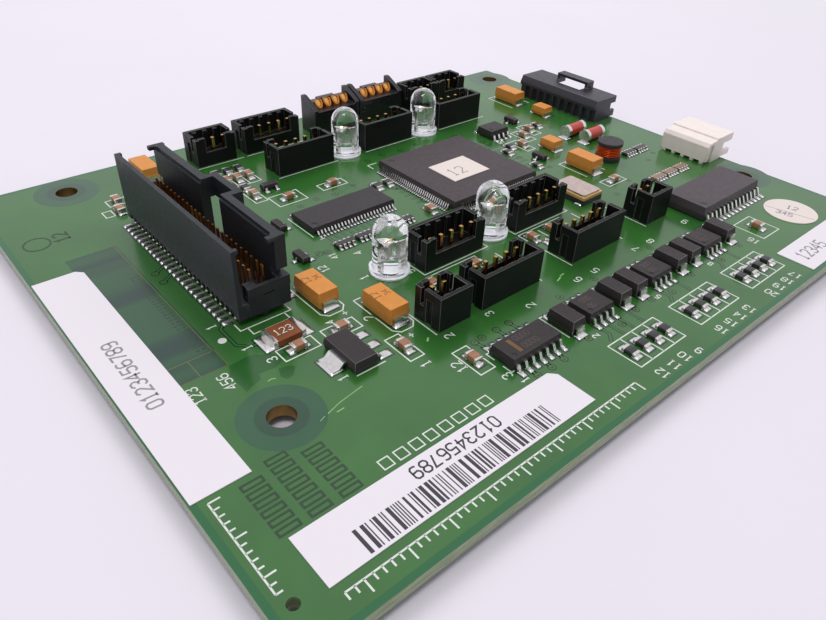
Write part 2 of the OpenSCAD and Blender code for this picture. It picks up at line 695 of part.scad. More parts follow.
// Housing with the tall wall at the front (Y = 0) and the window at Y = header_d.
module header_housing(n) {
    l = header_len(n);
    slot_y = header_d - 1.75;
    post_d = header_d - slot_y - header_slot_w;
    groove_y = header_d - 3.3;
    difference() {
        cube([l, header_d, header_h]);
        translate([header_wall, header_wall, header_floor])
            cube([l - 2 * header_wall, header_d - 2 * header_wall, header_h]);
        translate([header_return, header_d - header_wall - cut, header_sill])
            cube([l - 2 * header_return, header_wall + 2 * cut, header_h]);
        for (x = [-cut, l - header_wall - cut]) {
            translate([x, slot_y, header_sill])
                cube([header_wall + 2 * cut, header_slot_w, header_h]);
            translate([x, header_d - post_d, header_h - 0.15])
                cube([header_wall + 2 * cut, post_d + cut, header_h]);
        }
        for (x = [-cut, l - header_wall / 2])
            translate([x, groove_y, -cut]) cube([header_wall / 2 + cut, 1.1, header_h - 1.1]);
        for (i = [0:n - 1])
            translate([header_end + i * header_pitch, header_d - header_pin_y, header_floor / 2])
                cube([header_pin, header_pin, header_floor + 2 * cut], center = true);
    }
    for (i = [0:n - 1])
        translate([header_end + i * header_pitch - header_rib_w / 2, header_wall - cut, header_floor - cut])
            cube([header_rib_w, 0.35 + cut, header_h - header_floor - 0.25 + cut]);
}

module header_at(h) {
    l = header_len(h[3]);
    color("#141416") on_board() translate([h[1], h[2], 0])
        translate(h[4] ? [l, header_d, 0] : [0, 0, 0]) rotate([0, 0, h[4] ? 180 : 0])
            header_housing(h[3]);
}

module header_pins() {
    color("tan") on_board() for (h = HEADERS, i = [0:h[3] - 1]) {
        p = header_pin_at(h, i);
        translate([p[0] - header_pin / 2, p[1] - header_pin / 2, -board_t - tail_l])
            cube([header_pin, header_pin, board_t + tail_l + header_tip_z]);
    }
}

// ---- Round sockets ----

module socket_ear() {
    rotate([90, 0, 90]) linear_extrude(socket_ear_t) polygon([
        [0, 0], [socket_d, 0], [socket_d, socket_ear_h], [socket_d - 0.8, socket_ear_h],
        [0.5, socket_back_h - 0.2], [0, socket_back_h - 0.6]
    ]);
}

module round_socket(x) {
    color("#17181b") on_board() translate([x, far_row_y, 0]) difference() {
        union() {
            cube([socket_len, socket_d, socket_front_h]);
            translate([0, socket_pin_y + socket_contact_d / 2 + 0.15, 0])
                cube([socket_len, socket_d - socket_pin_y - socket_contact_d / 2 - 0.15, socket_back_h]);
            socket_ear();
            translate([socket_len - socket_ear_t, 0, 0]) socket_ear();
            translate([socket_len / 2 - 2, socket_d - 1.1, 0]) cube([4, 1.1, socket_back_h + 0.35]);
        }
        for (i = [0:3]) translate([socket_end + i * socket_pitch, socket_pin_y, 0]) {
            translate([0, 0, 1]) cylinder(d = socket_contact_d, h = socket_ear_h, $fn = 32);
            translate([-header_pin / 2, -header_pin / 2, -cut]) cube([header_pin, header_pin, 1 + 2 * cut]);
        }
    }
}

// Round contact, scooped open towards the front at its top, on a square leg.
module round_socket_contacts() {
    top = socket_back_h + 0.6;
    color("goldenrod") on_board() for (p = SOCKET_CONTACTS) translate([p[0], p[1], 0]) difference() {
        union() {
            translate([0, 0, 1]) cylinder(d = socket_contact_d, h = top - 1, $fn = 32);
            translate([-header_pin / 2, -header_pin / 2, -board_t - tail_l])
                cube([header_pin, header_pin, board_t + tail_l + 1 + cut]);
        }
        translate([0, 0, 2]) cylinder(d = socket_bore_d, h = top, $fn = 32);
        translate([0, -socket_contact_d / 2 - cut, socket_front_h + 0.1]) rotate([50, 0, 0])
            translate([-socket_contact_d, 0, 0]) cube([2 * socket_contact_d, 4, 4]);
    }
}

// ---- Side-entry connector ----

entry_pin_z = 2.35;

module entry_pins() {
    path = [
        [entry_mouth - 1.2, entry_pin_z], [entry_leg_x, entry_pin_z], [entry_leg_x, -board_t - tail_l]
    ];
    for (i = [0:entry_count - 1]) translate([0, entry_y + entry_end + i * entry_pitch, 0])
        bent_strip(path, header_pin, header_pin);
}

module side_connector_contacts() {
    color("goldenrod") on_board() entry_pins();
}

module side_connector_housing() {
    bevel = 0.6;
    back_z = 0.9;
    key_y = entry_y + (entry_len - entry_key_l) / 2;
    post = 0.8;
    color("#26262c") on_board() difference() {
        union() {
            translate([0, entry_y + entry_len, 0]) rotate([90, 0, 0]) linear_extrude(entry_len) polygon([
                [entry_back + 0.5, 0], [entry_back + 0.5, entry_h - 1.9], [entry_back, entry_h - 1.9],
                [entry_back, entry_h - 1.3], [entry_back + bevel, entry_h], [entry_mouth, entry_h],
                [entry_mouth, 0.3], [board_w - 1, 0.3], [board_w - 1, 0]
            ]);
            for (i = [0:entry_count])
                translate([entry_back, entry_y + entry_end + (i - 0.5) * entry_pitch - 0.3, 0])
                    cube([0.5 + cut, 0.6, entry_h - 1.8]);
            for (y = [key_y - post, key_y + entry_key_l])
                translate([entry_mouth - 2.2, y, entry_h - cut]) cube([2.2, post, entry_bridge_h + cut]);
            translate([entry_mouth - 2.2, key_y - post, entry_h + entry_bridge_h - 0.6])
                cube([2.2, entry_key_l + 2 * post, 0.6]);
        }
        translate([entry_back + 2.6, entry_y + entry_wall, entry_wall + 0.3])
            cube([entry_d, entry_len - 2 * entry_wall, entry_h - 2 * entry_wall - 0.3]);
        translate([entry_back + 3.2, key_y, entry_h - entry_wall - cut])
            cube([entry_d, entry_key_l, entry_wall + 2 * cut - 0.1]);
        for (y = [entry_y - cut, entry_y + entry_len - entry_wall - cut])
            translate([entry_mouth - 1.6, y, 1.7]) cube([1.6 + cut, entry_wall + 2 * cut, 1.5]);
        entry_pins();
    }
}

// ---- Power connector ----

power_pin_z = 2.2;

module power_pin_set() {
    path = [
        [power_mouth - 1.4, power_pin_z], [power_leg_x, power_pin_z], [power_leg_x, -board_t - tail_l]
    ];
    for (i = [0:power_count - 1]) translate([0, power_y + power_end + i * power_pitch, 0])
        bent_strip(path, header_pin, header_pin);
}

module power_connector_pins() {
    color("silver") on_board() power_pin_set();
}

module power_connector_housing() {
    step_x = power_back + 2.9;
    color("#ece6dc") on_board() difference() {
        union() {
            translate([0, power_y + power_len, 0]) rotate([90, 0, 0]) linear_extrude(power_len) polygon([
                [power_back, 0.5], [power_back, power_h - 1.2], [power_back + 0.5, power_h - 0.5],
                [step_x, power_h - 0.3], [step_x, power_h], [power_mouth, power_h],
                [power_mouth, 0.3], [board_w - 0.6, 0.3], [board_w - 0.6, 0], [power_back + 2, 0],
                [power_back + 2, 0.5]
            ]);
            for (i = [0:power_count])
                translate([power_back, power_y + power_end + (i - 0.5) * power_pitch - 0.35, 0])
                    cube([1.2, 0.7, 0.6]);
        }
        translate([step_x, power_y + power_wall, power_wall + 0.3])
            cube([power_d, power_len - 2 * power_wall, power_h - 2 * power_wall - 0.3]);
        for (y = [power_y - cut, power_y + power_len - power_wall / 2])
            translate([power_back + 0.9, y, -cut]) cube([1, power_wall / 2 + cut, power_h - 1]);
        for (y = [power_y - cut, power_y + power_len - power_wall - cut])
            translate([power_mouth - 3, y, 1.4]) cube([3 + cut, power_wall + 2 * cut, 1.7]);
        power_pin_set();
    }
}

// ---- Lamps ----

lamp_post_top = 5.2;

// Leadframe: two legs, a post with a reflector cup and a shorter post with a bond anvil.
module leadframe() {
    for (s = [-1, 1]) translate([s * lamp_leg_gap / 2 - lamp_leg / 2, -lamp_leg / 2, -board_t - tail_l])
        cube([lamp_leg, lamp_leg, board_t + tail_l + 2.4]);
    difference() {
        translate([0, lamp_leg / 2, 0]) rotate([90, 0, 0]) linear_extrude(lamp_leg) polygon([
            [-lamp_leg_gap / 2 - 0.25, 2], [-0.35, 2], [-0.05, 3.4], [0.1, lamp_post_top - 0.8],
            [0.1, lamp_post_top], [-1.3, lamp_post_top], [-1.52, lamp_post_top - 0.9]
        ]);
        translate([-0.6, 0, lamp_post_top - 0.35]) cylinder(r1 = 0.2, r2 = 0.45, h = 0.4, $fn = 24);
    }
    translate([0, lamp_leg / 2, 0]) rotate([90, 0, 0]) linear_extrude(lamp_leg) polygon([
        [lamp_leg_gap / 2 + 0.25, 2], [0.55, 2], [0.45, lamp_post_top - 0.9], [0.45, lamp_post_top - 0.1],
        [1.3, lamp_post_top - 0.1], [1.52, lamp_post_top - 1.2]
    ]);
}

module lamp_lens() {
    difference() {
        union() {
            difference() {
                cylinder(d = lamp_flange_d, h = lamp_flange_t, $fn = fine);
                translate([lamp_d / 2, -lamp_flange_d, -cut])
                    cube([2, 2 * lamp_flange_d, lamp_flange_t + 2 * cut]);
            }
            cylinder(d = lamp_d, h = lamp_h - lamp_d / 2, $fn = fine);
            translate([0, 0, lamp_h - lamp_d / 2]) sphere(d = lamp_d, $fn = fine);
        }
        leadframe();
    }
}

module lamp_lens_at(i) {
    color([0.9, 0.95, 0.95, 0.4]) on_board() translate(LAMPS[i - 1]) lamp_lens();
}

module lamp_leadframes() {
    color("silver") on_board() for (l = LAMPS) translate(l) leadframe();
}

// ---- Chips ----

module dimple(x, y, top, d) {
    translate([x, y, top - 0.08]) cylinder(d = d, h = 1, $fn = 24);
}

cpu_lead_t = 0.15;
cpu_lead_z = 0.85;

module processor_body() {
    color("#3b3b40") on_board() at(cpu_at) difference() {
        moulded_body(cpu_body, cpu_body, 0.12, cpu_top, cpu_lead_z, cpu_lead_t, 0.12);
        dimple(-cpu_body / 2 + 1.6, cpu_body / 2 - 1.6, cpu_top, 1.2);
    }
}

module processor_leads() {
    color("silver") on_board() at(cpu_at) for (turn = [0, 90]) rotate([0, 0, turn])
        lead_rows(cpu_leads, cpu_pitch, cpu_body, gull_path(cpu_lead_z, cpu_lead_t, 0.25, 1.1, 0.5),
            cpu_lead_t, cpu_lead_w);
}

mem_lead_t = 0.14;

module memory_body() {
    color("#35353a") on_board() at(mem_at) difference() {
        moulded_body(mem_l, mem_w, 0.1, mem_top, mem_top / 2, mem_lead_t, 0.1);
        dimple(-mem_l / 2 + 1, -mem_w / 2 + 1, mem_top, 0.9);
    }
}

module memory_leads() {
    color("silver") on_board() at(mem_at) lead_rows(mem_leads, mem_pitch, mem_w,
        gull_path(mem_top / 2, mem_lead_t, 0.25, 1.1, 0.55), mem_lead_t, mem_lead_w);
}

so_lead_t = 0.22;
so_lead_z = 0.85;
function so_len(n) = (n - 1) * so_pitch + 2 * so_end;

module so_body(n, w, top, z) {
    l = so_len(n);
    difference() {
        moulded_body(l, w, 0.15, top, z, so_lead_t, 0.12);
        dimple(-l / 2 + 0.8, -w / 2 + 0.8, top, 0.7);
        translate([-l, -w / 2 - cut, top - 0.25]) rotate([45, 0, 0]) cube([2 * l, 1, 1]);
    }
}

module logic_chip_body() {
    color("#2b2b2f") on_board() at(logic_at) so_body(7, so_w, so_top, so_lead_z);
}

module driver_chip_bodies() {
    color("#2b2b2f") on_board() for (p = concat(DRIVERS, [other_so8]))
        at(p) so_body(4, so_w, so_top, so_lead_z);
}

module so_leads(n) {
    lead_rows(n, so_pitch, so_w, gull_path(so_lead_z, so_lead_t, 0.25, 1.05, 0.5), so_lead_t, so_lead_w);
}

module small_chip_leads() {
    color("silver") on_board() {
        at(logic_at) so_leads(7);
        for (p = concat(DRIVERS, [other_so8])) at(p) so_leads(4);
        for (p = TRANSISTORS) at(p) transistor_leads();
    }
}

wide_leads = 14;
wide_lead_z = 1.2;

module wide_driver_body() {
    color("#2f2d33") on_board() at(wide_at) difference() {
        moulded_body(so_len(wide_leads), wide_w, 0.2, wide_top, wide_lead_z, so_lead_t, 0.2);
        dimple(-so_len(wide_leads) / 2 + 1.2, -wide_w / 2 + 1.2, wide_top, 1);
    }
}

module wide_driver_leads() {
    color("silver") on_board() at(wide_at) lead_rows(wide_leads, so_pitch, wide_w,
        gull_path(wide_lead_z, so_lead_t, 0.3, 1.4, 0.6), so_lead_t, so_lead_w);
}

// ---- Regulator, transistors and power diodes ----

reg_pitch = 2.3;
reg_lead_z = 0.85;
reg_lead_t = 0.25;

module regulator_body() {
    color("#2a292d") on_board() at([reg_at[0], reg_at[1], 0])
        moulded_body(reg_w, reg_l, pad_t, reg_top, reg_lead_z, reg_lead_t, 0.15);
}

module regulator_leads() {
    path = gull_path(reg_lead_z, reg_lead_t, 0.35, 1.9, 0.9);
    color("silver") on_board() at([reg_at[0], reg_at[1], 0]) {
        for (i = [-1:1]) translate([reg_w / 2, i * reg_pitch, 0]) bent_strip(path, reg_lead_t, 0.7);
        mirror([1, 0, 0]) translate([reg_w / 2, 0, 0]) bent_strip(path, reg_lead_t, reg_tab_w);
    }
}

transistor_z = 0.55;
transistor_t = 0.12;

module transistor_bodies() {
    color("#2a292d") on_board() for (p = TRANSISTORS) at(p)
        moulded_body(2.9, 1.3, 0.08, 1.05, transistor_z, transistor_t, 0.08);
}

module transistor_leads() {
    path = gull_path(transistor_z, transistor_t, 0.12, 0.55, 0.28);
    for (x = [-0.95, 0.95]) translate([x, -0.65, 0]) rotate([0, 0, -90]) bent_strip(path, transistor_t, 0.4);
    translate([0, 0.65, 0]) rotate([0, 0, 90]) bent_strip(path, transistor_t, 0.4);
}

module transistor_pads() {
    for (x = [-0.95, 0.95]) translate([x - 0.35, -1.5, 0]) cube([0.7, 0.75, pad_t]);
    translate([-0.35, 0.75, 0]) cube([0.7, 0.75, pad_t]);
}

diode_lead_z = 1.1;
diode_lead_t = 0.2;

module power_diode_bodies() {
    color("#202024") on_board() for (p = DIODES) at([p[0], p[1], 90])
        moulded_body(diode_l, diode_w, 0.15, diode_top, diode_lead_z, diode_lead_t, 0.18);
}

module power_diode_leads() {
    path = gull_path(diode_lead_z, diode_lead_t, 0.22, 0.85, 0.45);
    color("silver") on_board() for (p = DIODES, s = [90, 270]) at([p[0], p[1], s])
        translate([diode_l / 2, 0, 0]) bent_strip(path, diode_lead_t, 1.45);
}

// ---- Capacitors, resistors and fuse ----

// Body of a tantalum capacitor with a chamfer along the marked end's top edge.
module tantalum_body(l, w, h) {
    difference() {
        moulded_body(l, w, pad_t + terminal_t, h, h * 0.45, terminal_t, 0.12);
        translate([-l / 2 - cut, -w, h - 0.3]) rotate([0, -45, 0]) translate([-1, 0, 0]) cube([1, 2 * w, 1]);
    }
}

// Terminal folded down the end face and under the body.
module tantalum_terminal(l, h, w) {
    out = terminal_t * 1.2;
    path = [[0, h * 0.45], [out, h * 0.45], [out, pad_t + terminal_t / 2], [-0.8, pad_t + terminal_t / 2]];
    for (s = [0, 180]) rotate([0, 0, s]) translate([l / 2, 0, 0]) bent_strip(path, terminal_t, w);
}

module tantalum_bodies() {
    color("#d98f2e") on_board() {
        for (p = TANTALUMS) at(p) tantalum_body(tant_l, tant_w, tant_h);
        for (p = SMALL_TANTALUMS) at(p) tantalum_body(tant_small_l, tant_small_w, tant_small_h);
    }
}

module tantalum_terminals() {
    color("silver") on_board() {
        for (p = TANTALUMS) at(p) tantalum_terminal(tant_l, tant_h, 2.2);
        for (p = SMALL_TANTALUMS) at(p) tantalum_terminal(tant_small_l, tant_small_h, 2.1);
    }
}

// Middle block of a chip part, l long between its ends.
module chip_block(l, w, h) {
    translate([-l / 2, -w / 2, pad_t]) cube([l, w, h]);
}

module ceramic_bodies() {
    color("#8a6a4e") on_board() for (p = CERAMICS) at(p) chip_block(chip_l - 2 * chip_end, chip_w, cap_h);
}

module resistor_bodies() {
    color("#202022") on_board() for (p = RESISTORS) at(p) chip_block(chip_l - 2 * chip_end, chip_w, res_h);
}

array_pitch = 0.8;
array_cap = 0.3;
array_h = 0.55;

module array_bodies() {
    color("#2c2c2e") on_board() for (p = ARRAYS) at(p) chip_block(array_l, array_w - 2 * array_cap, array_h);
}

module chip_end_caps() {
    color("gainsboro") on_board() {
        for (p = CERAMICS) at(p) end_pair(chip_l, chip_w, cap_h, chip_end);
        for (p = RESISTORS) at(p) end_pair(chip_l, chip_w, res_h, chip_end);
        for (p = ARRAYS) at(p) for (s = [0, 180]) rotate([0, 0, s]) row(4, array_pitch)
            translate([-0.25, array_w / 2 - array_cap, pad_t]) cube([0.5, array_cap, array_h]);
        at(fuse_at) end_pair(fuse_l, fuse_w, fuse_h, 0.6);
    }
}

module end_pair(l, w, h, end) {
    for (s = [0, 180]) rotate([0, 0, s]) translate([l / 2 - end, -w / 2, pad_t]) cube([end, w, h]);
}

module resettable_fuse() {
    color("#6b4632") on_board() at(fuse_at) chip_block(fuse_l - 1.2, fuse_w, fuse_h - 0.1);
}

// ---- Oscillator, coil and glass diodes ----

module oscillator_base() {
    color("#2f3540") on_board() at([osc_at[0], osc_at[1], 90])
        translate([-osc_l / 2, -osc_w / 2, pad_t]) cube([osc_l, osc_w, osc_top - osc_lid_t - pad_t]);
}

module oscillator_lid() {
    inset = 0.25;
    color("#d9c08a") on_board() at([osc_at[0], osc_at[1], 90], osc_top - osc_lid_t)
        linear_extrude(osc_lid_t) translate([-osc_l / 2 + inset, -osc_w / 2 + inset])
            rounded_plate(osc_l - 2 * inset, osc_w - 2 * inset, 0.5);
}

coil_core_d = 2.6;
coil_flange_t = 0.7;

module coil_core() {
    color("#2b2a2d") on_board() at(coil_at, pad_t) {
        cylinder(d = coil_d, h = coil_flange_t + 0.2, $fn = fine);
        cylinder(d = coil_core_d, h = coil_h - pad_t, $fn = fine);
        translate([0, 0, coil_h - pad_t - coil_flange_t]) cylinder(d = coil_d, h = coil_flange_t, $fn = fine);
    }
}

// Wire turns wound close together between the flanges, each turn bedded a little into the next.
module coil_winding() {
    z0 = pad_t + coil_flange_t + 0.2;
    room = coil_h - coil_flange_t - z0;
    turns = floor(room / (coil_wire_d * 0.9));
    pitch = room / turns;
    outer = coil_d / 2 - 0.15;
    color("#b5451f") on_board() at(coil_at) rotate_extrude($fn = fine) intersection() {
        translate([coil_core_d / 2, z0]) square([coil_d, room]);
        union() {
            translate([coil_core_d / 2, z0]) square([outer - coil_wire_d / 2 - coil_core_d / 2, room]);
            for (i = [0:turns - 1]) translate([outer - coil_wire_d / 2, z0 + pitch * (i + 0.5)])
                circle(d = coil_wire_d, $fn = 16);
        }
    }
}

glass_z = pad_t + glass_d / 2;

module glass_diode_bodies() {
    color("#c8463c") on_board() for (p = GLASS_DIODES) at(p, glass_z) rotate([0, 90, 0])
        cylinder(d = glass_d - 0.2, h = glass_l - 2 * glass_cap_l, center = true, $fn = fine);
}

module glass_diode_caps() {
    color("silver") on_board() for (p = GLASS_DIODES, x = [-glass_l / 2, glass_l / 2 - glass_cap_l])
        at(p, glass_z) rotate([0, 90, 0]) translate([0, 0, x])
            cylinder(d = glass_d, h = glass_cap_l, $fn = fine);
}

// ---- Labels ----

long_label = [0.2, 19.2, 6.6, 45.7];
code_label = [5.4, 4, 36.7, 6.4];
right_label = [board_w - 26.5, 0.7, 20, 5.7];
sticker_at = [board_w - 11, 11.6];
chip_label = [8.4, 6.9];

module corner_label(r, notch) {
    translate([r[0], r[1], 0]) linear_extrude(label_t)
        polygon([[0, 0], [r[2], 0], [r[2], r[3] - notch], [r[2] - notch, r[3]], [0, r[3]]]);
}

module paper_labels() {
    color("whitesmoke") on_board() {
        corner_label(long_label, 0.9);
        corner_label(code_label, 0.9);
        corner_label(right_label, 0.9);
        translate([sticker_at[0], sticker_at[1], 0]) cylinder(d = sticker_d, h = label_t, $fn = fine);
        translate([cpu_at[0] - 0.65, cpu_at[1] - 1.1, cpu_top + label_t / 2])
            cube([chip_label[0], chip_label[1], label_t], center = true);
    }
}

// ---- Nodes ----

board();
hole_plating();
solder();
tall_connector_housing();
tall_connector_contacts();
for (h = HEADERS) header_at(h);
header_pins();
round_socket(SOCKET_X[0]);  // round_socket_left
round_socket(SOCKET_X[1]);  // round_socket_right
round_socket_contacts();
side_connector_housing();
side_connector_contacts();
power_connector_housing();
power_connector_pins();
for (i = [1:4]) lamp_lens_at(i);
lamp_leadframes();
processor_body();
processor_leads();
memory_body();
memory_leads();
logic_chip_body();
driver_chip_bodies();
small_chip_leads();
wide_driver_body();
wide_driver_leads();
regulator_body();
regulator_leads();
power_diode_bodies();
power_diode_leads();
tantalum_bodies();
tantalum_terminals();
ceramic_bodies();
resistor_bodies();
array_bodies();
chip_end_caps();
resettable_fuse();
transistor_bodies();
oscillator_base();
oscillator_lid();
coil_core();
coil_winding();
glass_diode_bodies();
glass_diode_caps();
paper_labels();
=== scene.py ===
"""Looks of the populated circuit board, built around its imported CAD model.

Layout numbers are millimetres from the board's near-left corner, with Z up from the component
face. world() turns them into the model's frame, in metres.
"""

import json
import math
import random

import bpy
import numpy as np
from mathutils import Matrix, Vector

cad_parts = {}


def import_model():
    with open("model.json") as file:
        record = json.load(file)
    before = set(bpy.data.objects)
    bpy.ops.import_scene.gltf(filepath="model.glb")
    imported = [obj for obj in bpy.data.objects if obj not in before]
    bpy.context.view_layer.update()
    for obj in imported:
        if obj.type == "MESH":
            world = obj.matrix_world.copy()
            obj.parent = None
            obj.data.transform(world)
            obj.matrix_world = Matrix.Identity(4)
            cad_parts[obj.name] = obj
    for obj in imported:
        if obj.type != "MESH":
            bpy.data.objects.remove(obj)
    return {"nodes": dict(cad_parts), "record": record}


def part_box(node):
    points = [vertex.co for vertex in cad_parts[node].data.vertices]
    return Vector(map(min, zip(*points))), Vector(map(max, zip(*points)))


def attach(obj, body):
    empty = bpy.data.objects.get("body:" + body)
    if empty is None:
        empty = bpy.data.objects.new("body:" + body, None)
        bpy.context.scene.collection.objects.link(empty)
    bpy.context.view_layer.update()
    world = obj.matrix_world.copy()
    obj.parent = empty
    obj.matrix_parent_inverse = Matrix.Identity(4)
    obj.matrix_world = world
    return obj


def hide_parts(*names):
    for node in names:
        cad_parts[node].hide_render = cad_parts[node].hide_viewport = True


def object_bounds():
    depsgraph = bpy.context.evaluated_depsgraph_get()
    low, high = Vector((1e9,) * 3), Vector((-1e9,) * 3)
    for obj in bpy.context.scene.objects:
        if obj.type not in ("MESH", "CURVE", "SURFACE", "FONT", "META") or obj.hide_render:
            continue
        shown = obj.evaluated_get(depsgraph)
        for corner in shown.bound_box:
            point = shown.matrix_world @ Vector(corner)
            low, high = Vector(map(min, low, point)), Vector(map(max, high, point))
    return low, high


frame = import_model()
CAD_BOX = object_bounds()

MM = 0.001
DATUM = (62.95, 56.6)
BOARD = (117.0, 94.5)
HOLES = [(13.2 + i * 99.5, 23.9 + j * 65.4) for i in (0, 1) for j in (0, 1)]


def world(x, y, z=0.0):
    return ((x - DATUM[0]) * MM, (y - DATUM[1]) * MM, z * MM)


# ---------------------------------------------------------------- shapes


class Shape:
    """Faces gathered in board millimetres, then made into one object on the board's body."""

    def __init__(self):
        self.verts = []
        self.faces = []

    def add(self, verts, faces):
        base = len(self.verts)
        self.verts.extend(tuple(v) for v in verts)
        self.faces.extend(tuple(base + i for i in f) for f in faces)

    def prism(self, outline, z0, z1):
        n = len(outline)
        verts = [(x, y, z0) for x, y in outline] + [(x, y, z1) for x, y in outline]
        sides = [(i, (i + 1) % n, n + (i + 1) % n, n + i) for i in range(n)]
        self.add(verts, [tuple(range(n - 1, -1, -1)), tuple(range(n, 2 * n)), *sides])

    def rect(self, x0, y0, x1, y1, z0, z1):
        self.prism([(x0, y0), (x1, y0), (x1, y1), (x0, y1)], z0, z1)

    def disc(self, x, y, r, z0, z1, n=28):
        self.prism(circle(x, y, r, n), z0, z1)

    def ring(self, x, y, r0, r1, z0, z1, n=32):
        inner, outer = circle(x, y, r0, n), circle(x, y, r1, n)
        verts = [(*p, z) for z in (z0, z1) for loop in (inner, outer) for p in loop]
        faces = []
        for i in range(n):
            j = (i + 1) % n
            faces.append((2 * n + i, 3 * n + i, 3 * n + j, 2 * n + j))
            faces.append((i, j, n + j, n + i))
            faces.append((n + i, n + j, 3 * n + j, 3 * n + i))
            faces.append((j, i, 2 * n + i, 2 * n + j))
        self.add(verts, faces)

    def stroke(self, points, width, z0, z1, closed=False):
        """A flat strip of that width along a line, mitred at its corners."""
        pts = [np.array(p, float) for p in points]
        n = len(pts)
        left, right = [], []
        for i, p in enumerate(pts):
            before = pts[i - 1] if (i or closed) else None
            after = pts[(i + 1) % n] if (i < n - 1 or closed) else None
            a = unit(p - before) if before is not None else unit(after - p)
            b = unit(after - p) if after is not None else a
            normal = unit(turned(a) + turned(b))
            reach = width / 2 / max(0.35, float(normal @ turned(a)))
            left.append(p + normal * reach)
            right.append(p - normal * reach)
        if closed:
            for i in range(n):
                j = (i + 1) % n
                self.prism([right[i], right[j], left[j], left[i]], z0, z1)
        else:
            self.prism([*right, *left[::-1]], z0, z1)

    def frame(self, x0, y0, x1, y1, width, z0, z1):
        self.stroke([(x0, y0), (x1, y0), (x1, y1), (x0, y1)], width, z0, z1, closed=True)

    def lathe(self, profile, x=0.0, y=0.0, n=48):
        """A closed round solid from (radius, z) points that start and end on the axis."""
        verts, rings = [], []
        for r, z in profile:
            if r < 1e-6:
                rings.append([len(verts)])
                verts.append((x, y, z))
            else:
                rings.append(list(range(len(verts), len(verts) + n)))
                verts.extend((px, py, z) for px, py in circle(x, y, r, n))
        faces = []
        for low, high in zip(rings, rings[1:]):
            for i in range(n):
                j = (i + 1) % n
                quad = [low[i % len(low)], low[j % len(low)], high[j % len(high)], high[i % len(high)]]
                faces.append(tuple(dict.fromkeys(quad)))
        self.add(verts, faces)

    def mound(self, x, y, half_x, half_y, z0, height, n=6):
        """A low pillow with a flat underside: molten solder that has wetted a rectangle."""
        steps = [math.sin(math.pi / 2 * (2 * i / n - 1)) for i in range(n + 1)]
        verts = []
        for v in steps:
            for u in steps:
                rise = max(0.0, (1 - u**4) * (1 - v**4)) ** 0.5
                verts.append((x + half_x * u, y + half_y * v, z0 + height * rise))
        faces = []
        for j in range(n):
            for i in range(n):
                a = j * (n + 1) + i
                faces.append((a, a + 1, a + n + 2, a + n + 1))
        self.add(verts, faces)

    def build(self, name, material, slot, smooth=None):
        """Makes the object, smooth below that angle in degrees, or flat when none is given."""
        mesh = bpy.data.meshes.new(name)
        mesh.from_pydata([world(*v) for v in self.verts], [], self.faces)
        mesh.update()
        obj = bpy.data.objects.new(name, mesh)
        bpy.context.scene.collection.objects.link(obj)
        mesh.materials.append(material)
        if smooth is not None:
            mesh.polygons.foreach_set("use_smooth", [True] * len(mesh.polygons))
            mesh.set_sharp_from_angle(angle=math.radians(smooth))
        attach(obj, "root")
        return obj


def unit(v):
    return v / max(1e-9, float(np.linalg.norm(v)))


def turned(v):
    return np.array((-v[1], v[0]))


def circle(x, y, r, n):
    return [
        (x + r * math.cos(2 * math.pi * i / n), y + r * math.sin(2 * math.pi * i / n)) for i in range(n)
    ]


BEVEL_ANGLE = 35


def add_bevel(obj, width_mm):
    bevel = obj.modifiers.new("soft_edges", "BEVEL")
    bevel.width = width_mm * MM
    bevel.segments = 2
    bevel.limit_method = "ANGLE"
    bevel.angle_limit = math.radians(BEVEL_ANGLE)
    bevel.use_clamp_overlap = True


def islands(node):
    """Lowest and highest corner of each separate solid of a CAD node, in board millimetres."""
    mesh = frame["nodes"][node].data
    co = np.array([v.co for v in mesh.vertices], float) / MM + (*DATUM, 0.0)
    _, merged = np.unique(np.round(co, 4), axis=0, return_inverse=True)
    merged = merged.ravel()
    parent = list(range(merged.max() + 1))

    def root(i):
        while parent[i] != i:
            parent[i] = parent[parent[i]]
            i = parent[i]
        return i

    for a, b in (e.vertices for e in mesh.edges):
        parent[root(merged[a])] = root(merged[b])
    groups = {}
    for i, p in enumerate(co):
        groups.setdefault(root(merged[i]), []).append(p)
    boxes = [(np.min(g, axis=0), np.max(g, axis=0)) for g in groups.values()]
    return sorted(boxes, key=lambda b: tuple(b[0]))


# ---------------------------------------------------------------- materials


def rgb(r, g, b):
    """An sRGB colour, 0 to 255, as the linear one a shader takes."""
    linear = [c / 255 / 12.92 if c <= 10 else ((c / 255 + 0.055) / 1.055) ** 2.4 for c in (r, g, b)]
    return (*linear, 1.0)


